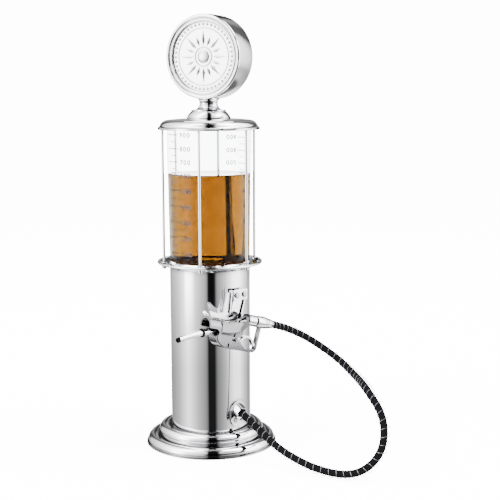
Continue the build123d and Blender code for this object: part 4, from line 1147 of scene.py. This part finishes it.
@dataclass
class Studio:
    """Plain pale floor, soft surround and lamps.

    Attributes:
        camera_fit: The camera's viewpoint.
        backdrop: Strength of the plain white that is seen behind the tower.
        floor_half: Half the floor's side.
        glow: Surround's strength by degrees to the right of the camera.
        rise: Factor on the glow by the sine of the elevation.
        cards: Flags and reflectors set by their angle.
        slot: Narrow flag overhead, set by its share aside.
        lamps: The area lamps.
        aim_height: Height that the lamps point at.
    """

    camera_fit: CameraFit = CameraFit()
    backdrop: float = 14.0
    floor_half: float = 4.0
    glow: tuple[tuple[float, float], ...] = (
        (-180, 3.0), (-168, 1.6), (-158, 0.40), (-124, 0.65), (-103, 0.97), (-86, 1.70),
        (-67, 2.75), (-51, 1.70), (-38, 1.02), (-26, 0.70), (-14.5, 0.45), (-8.7, 0.22),
        (-5.8, 0.018), (11.6, 0.018), (14.5, 0.10), (20, 0.31), (32, 0.52), (44, 0.85),
        (57, 1.70), (70, 3.0), (90, 3.3), (112, 1.40), (137, 0.58), (150, 0.45), (158, 1.2),
        (168, 2.0), (180, 3.0),
    )
    rise: tuple[tuple[float, float], ...] = (
        (-1.0, 2.20), (-0.47, 1.80), (-0.36, 1.20), (-0.31, 1.00), (-0.25, 1.00), (-0.19, 1.6),
        (-0.10, 2.30), (0.34, 3.00), (0.50, 4.20), (0.80, 5.20), (1.0, 5.20),
    )
    cards: tuple[Card, ...] = (
        Card(132.0, 200.0, -0.16, 2.0, 0.08), Card(-200.0, -146.0, -0.16, 2.0, 0.08),
        Card(20.0, 100.0, 0.52, 0.68, 0.12), Card(15.0, 95.0, -2.0, -0.45, 0.20),
        Card(110.0, 200.0, -2.0, -0.46, 0.20), Card(-200.0, -110.0, -2.0, -0.46, 0.20),
        Card(-78.0, -50.0, -0.20, 0.20, 2.0), Card(-6.0, 12.0, -0.21, 0.30, 0.25),
        Card(-12.0, 64.0, -0.10, 0.34, 0.10), Card(-115.0, 115.0, -0.43, -0.35, 0.12),
    )
    slot: Card = Card(-0.13, 0.20, 0.25, 2.0, 0.10)
    angle_blur: float = 6.0
    aside_blur: float = 0.06
    height_blur: float = 0.03
    lamps: tuple[Lamp, ...] = (
        Lamp("key", -62.0, 1.1, 1.5, (1.0, 1.4), 40.0),
        Lamp("fill", 66.0, 0.9, 1.6, (1.0, 1.4), 30.0),
        Lamp("top", 170.0, 1.7, 0.7, (1.4, 1.4), 40.0),
    )
    aim_height: float = 0.22

    def camera(self) -> None:
        """Places the camera."""
        data = bpy.data.cameras.new("camera")
        data.lens = self.camera_fit.lens
        data.sensor_width = 36.0
        data.clip_start = 0.01
        item = linked_object("camera", data)
        item.matrix_world = self.camera_fit.matrix()
        bpy.context.scene.camera = item

    def floor(self) -> None:
        """Makes the pale floor, which glows for the camera alone."""
        item = mesh_object("floor", lambda shape: bmesh.ops.create_grid(
            shape, x_segments=1, y_segments=1, size=self.floor_half))
        material = bpy.data.materials.new("floor")
        material.use_nodes = True
        graph = Graph(material.node_tree)
        white = graph.add("BsdfDiffuse", Color=(0.9, 0.9, 0.9, 1.0))
        rays = graph.add("LightPath")
        glow = graph.add("Emission", Color=WHITE)
        seen = graph.math("MULTIPLY", rays.outputs["Is Camera Ray"], self.backdrop * 0.75)
        graph.link(seen, glow.inputs["Strength"])
        both = graph.add("AddShader")
        output = graph.add("OutputMaterial")
        graph.link(white.outputs[0], both.inputs[0])
        graph.link(glow.outputs[0], both.inputs[1])
        graph.link(both.outputs[0], output.inputs["Surface"])
        item.data.materials.append(material)
        item.visible_glossy = False
        item.visible_transmission = False

    @staticmethod
    def grey_ramp(graph: Graph, place: bpy.types.NodeSocket, span: tuple[float, float],
                  stops: Sequence[tuple[float, float]]) -> tuple[bpy.types.NodeSocket, float]:
        """Adds a grey ramp over a value.

        Args:
            graph: Node helper of the world.
            place: Value that the ramp reads.
            span: The value's lowest and highest level.
            stops: Value and strength of each stop.

        Returns:
            The ramp's colour and the strength that its white stands for.
        """
        low, high = span
        peak = max(strength for _, strength in stops)
        node = graph.add("ValToRGB")
        share = graph.math("MULTIPLY_ADD", place, 1.0 / (high - low), -low / (high - low))
        graph.link(share, node.inputs["Fac"])
        elements = node.color_ramp.elements
        while len(elements) < len(stops):
            elements.new(0.5)
        for element, (value, strength) in zip(elements, stops):
            element.position = (value - low) / (high - low)
            element.color = (*[strength / peak] * 3, 1.0)
        return node.outputs["Color"], peak

    @staticmethod
    def window(graph: Graph, value: bpy.types.NodeSocket, low: float, high: float, blur: float
               ) -> bpy.types.NodeSocket:
        """Soft mask that is 1 between two values.

        Args:
            graph: Node helper of the world.
            value: What is tested.
            low: Lower edge.
            high: Upper edge.
            blur: Half the width of each soft edge.

        Returns:
            The mask's socket.
        """
        edges = []
        for start, stop in ((low - blur, low + blur), (high + blur, high - blur)):
            node = graph.add("MapRange", interpolation_type="SMOOTHSTEP")
            graph.link(value, node.inputs["Value"])
            node.inputs["From Min"].default_value = start
            node.inputs["From Max"].default_value = stop
            edges.append(node.outputs["Result"])
        return graph.math("MULTIPLY", *edges)

    def flags(self, graph: Graph, angle: bpy.types.NodeSocket, aside: bpy.types.NodeSocket,
              height: bpy.types.NodeSocket) -> bpy.types.NodeSocket:
        """Dark and bright cards that the surround's glow is multiplied by.

        Args:
            graph: Node helper of the world.
            angle: Degrees to the right of the camera.
            aside: Share of the direction that points to the camera's right.
            height: Sine of the elevation.

        Returns:
            The product of all cards.
        """
        total = graph.math("ADD", 1.0, 0.0)
        for card in (*self.cards, self.slot):
            across, blur = angle, self.angle_blur
            if card is self.slot:
                across, blur = aside, self.aside_blur
            mask = graph.math(
                "MULTIPLY", self.window(graph, across, card.left, card.right, blur),
                self.window(graph, height, card.low, card.high, self.height_blur))
            gain = graph.math("MULTIPLY_ADD", mask, card.gain - 1.0, 1.0)
            total = graph.math("MULTIPLY", total, gain)
        return total

    def plain_light(self, graph: Graph, toward: bpy.types.NodeSocket,
                    from_camera: bpy.types.NodeSocket) -> bpy.types.Node:
        """White backdrop for the camera, dimmer to the sides for light through the tank.

        Args:
            graph: Node helper of the world.
            toward: Share of the direction that points to the camera.
            from_camera: 1 for rays that come straight from the camera.

        Returns:
            The backdrop's shader.
        """
        fade = graph.add("MapRange")
        graph.link(toward, fade.inputs["Value"])
        for label, value in (("From Min", -0.985), ("From Max", -0.80), ("To Min", 1.0),
                             ("To Max", 0.28)):
            fade.inputs[label].default_value = value
        front = graph.math("MULTIPLY", graph.math("GREATER_THAN", toward, -0.25), 0.16)
        dim = graph.math("SUBTRACT", fade.outputs["Result"], front)
        seen = graph.math("MAXIMUM", dim, from_camera)
        plain = graph.add("Background", Color=WHITE)
        graph.link(graph.math("MULTIPLY", seen, self.backdrop), plain.inputs["Strength"])
        return plain

    def surround(self) -> None:
        """Soft studio surround: bright sides, white behind, dark slot at the camera."""
        world = bpy.data.worlds.new("studio")
        bpy.context.scene.world = world
        world.use_nodes = True
        graph = Graph(world.node_tree)
        place = graph.add("TexCoord")
        parts = graph.add("SeparateXYZ")
        graph.link(place.outputs["Generated"], parts.inputs[0])
        x, y, z = parts.outputs
        sine, cosine = math.sin(self.camera_fit.azimuth), math.cos(self.camera_fit.azimuth)
        toward = graph.weighted(x, sine, y, cosine, "SUBTRACT")
        aside = graph.weighted(x, cosine, y, sine)
        radians = graph.math("ARCTAN2", aside, toward)
        angle = graph.math("MULTIPLY", radians, 180.0 / math.pi)
        around, around_peak = self.grey_ramp(graph, angle, (-180.0, 180.0), self.glow)
        upward, upward_peak = self.grey_ramp(graph, z, (-1.0, 1.0), self.rise)
        shade = self.flags(graph, angle, aside, z)
        soft = graph.add("Background", Strength=around_peak * upward_peak)
        graph.link(graph.product(graph.product(around, upward), shade), soft.inputs["Color"])
        rays = graph.add("LightPath")
        from_camera = rays.outputs["Is Camera Ray"]
        plain = self.plain_light(graph, toward, from_camera)
        through = graph.math("MAXIMUM", from_camera, rays.outputs["Is Transmission Ray"])
        choose = graph.add("MixShader")
        graph.link(through, choose.inputs[0])
        graph.link(soft.outputs[0], choose.inputs[1])
        graph.link(plain.outputs[0], choose.inputs[2])
        output = graph.add("OutputWorld")
        graph.link(choose.outputs[0], output.inputs["Surface"])

    def add_lamp(self, lamp: Lamp) -> None:
        """Adds one lamp, which no surface mirrors.

        Args:
            lamp: Its size, place and power.
        """
        data = bpy.data.lights.new(lamp.name, "AREA")
        data.shape = "RECTANGLE"
        data.size, data.size_y = lamp.size
        data.energy = lamp.power
        turn = self.camera_fit.azimuth + math.radians(lamp.azimuth)
        item = linked_object(lamp.name, data)
        item.location = (lamp.distance * math.sin(turn), -lamp.distance * math.cos(turn), lamp.height)
        aim = UP * self.aim_height - item.location
        item.rotation_euler = aim.to_track_quat("-Z", "Y").to_euler()
        item.visible_glossy = False

    def build(self) -> None:
        """Sets up camera, floor, surround and lamps."""
        self.camera()
        self.floor()
        self.surround()
        for lamp in self.lamps:
            self.add_lamp(lamp)


def paint_frame(frame: dict, palette: Palette) -> None:
    """Gives every CAD node the finish of its record slot.

    Args:
        palette: The materials.
    """
    by_slot = {finish.slot: finish for finish in NODE_FINISHES}
    slots = {part["node"]: part["material_slot"] for part in frame["record"]["subparts"]}
    for name, item in frame["nodes"].items():
        item.data.materials.clear()
        item.data.materials.append(palette.material(by_slot[slots[name]]))
        LOG.info("%s wears %s", name, slots[name])


def main() -> None:
    """Builds the whole visual scene."""
    logging.basicConfig(level=logging.INFO, format="%(name)s: %(message)s")
    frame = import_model()
    palette = Palette()
    paint_frame(frame, palette)
    Drink(palette).build()
    ScalePrint(palette).build()
    Hose(palette).build()
    ValveSpring(palette).build()
    SignFace(palette).build()
    Studio().build()


if __name__ == "__main__":
    main()
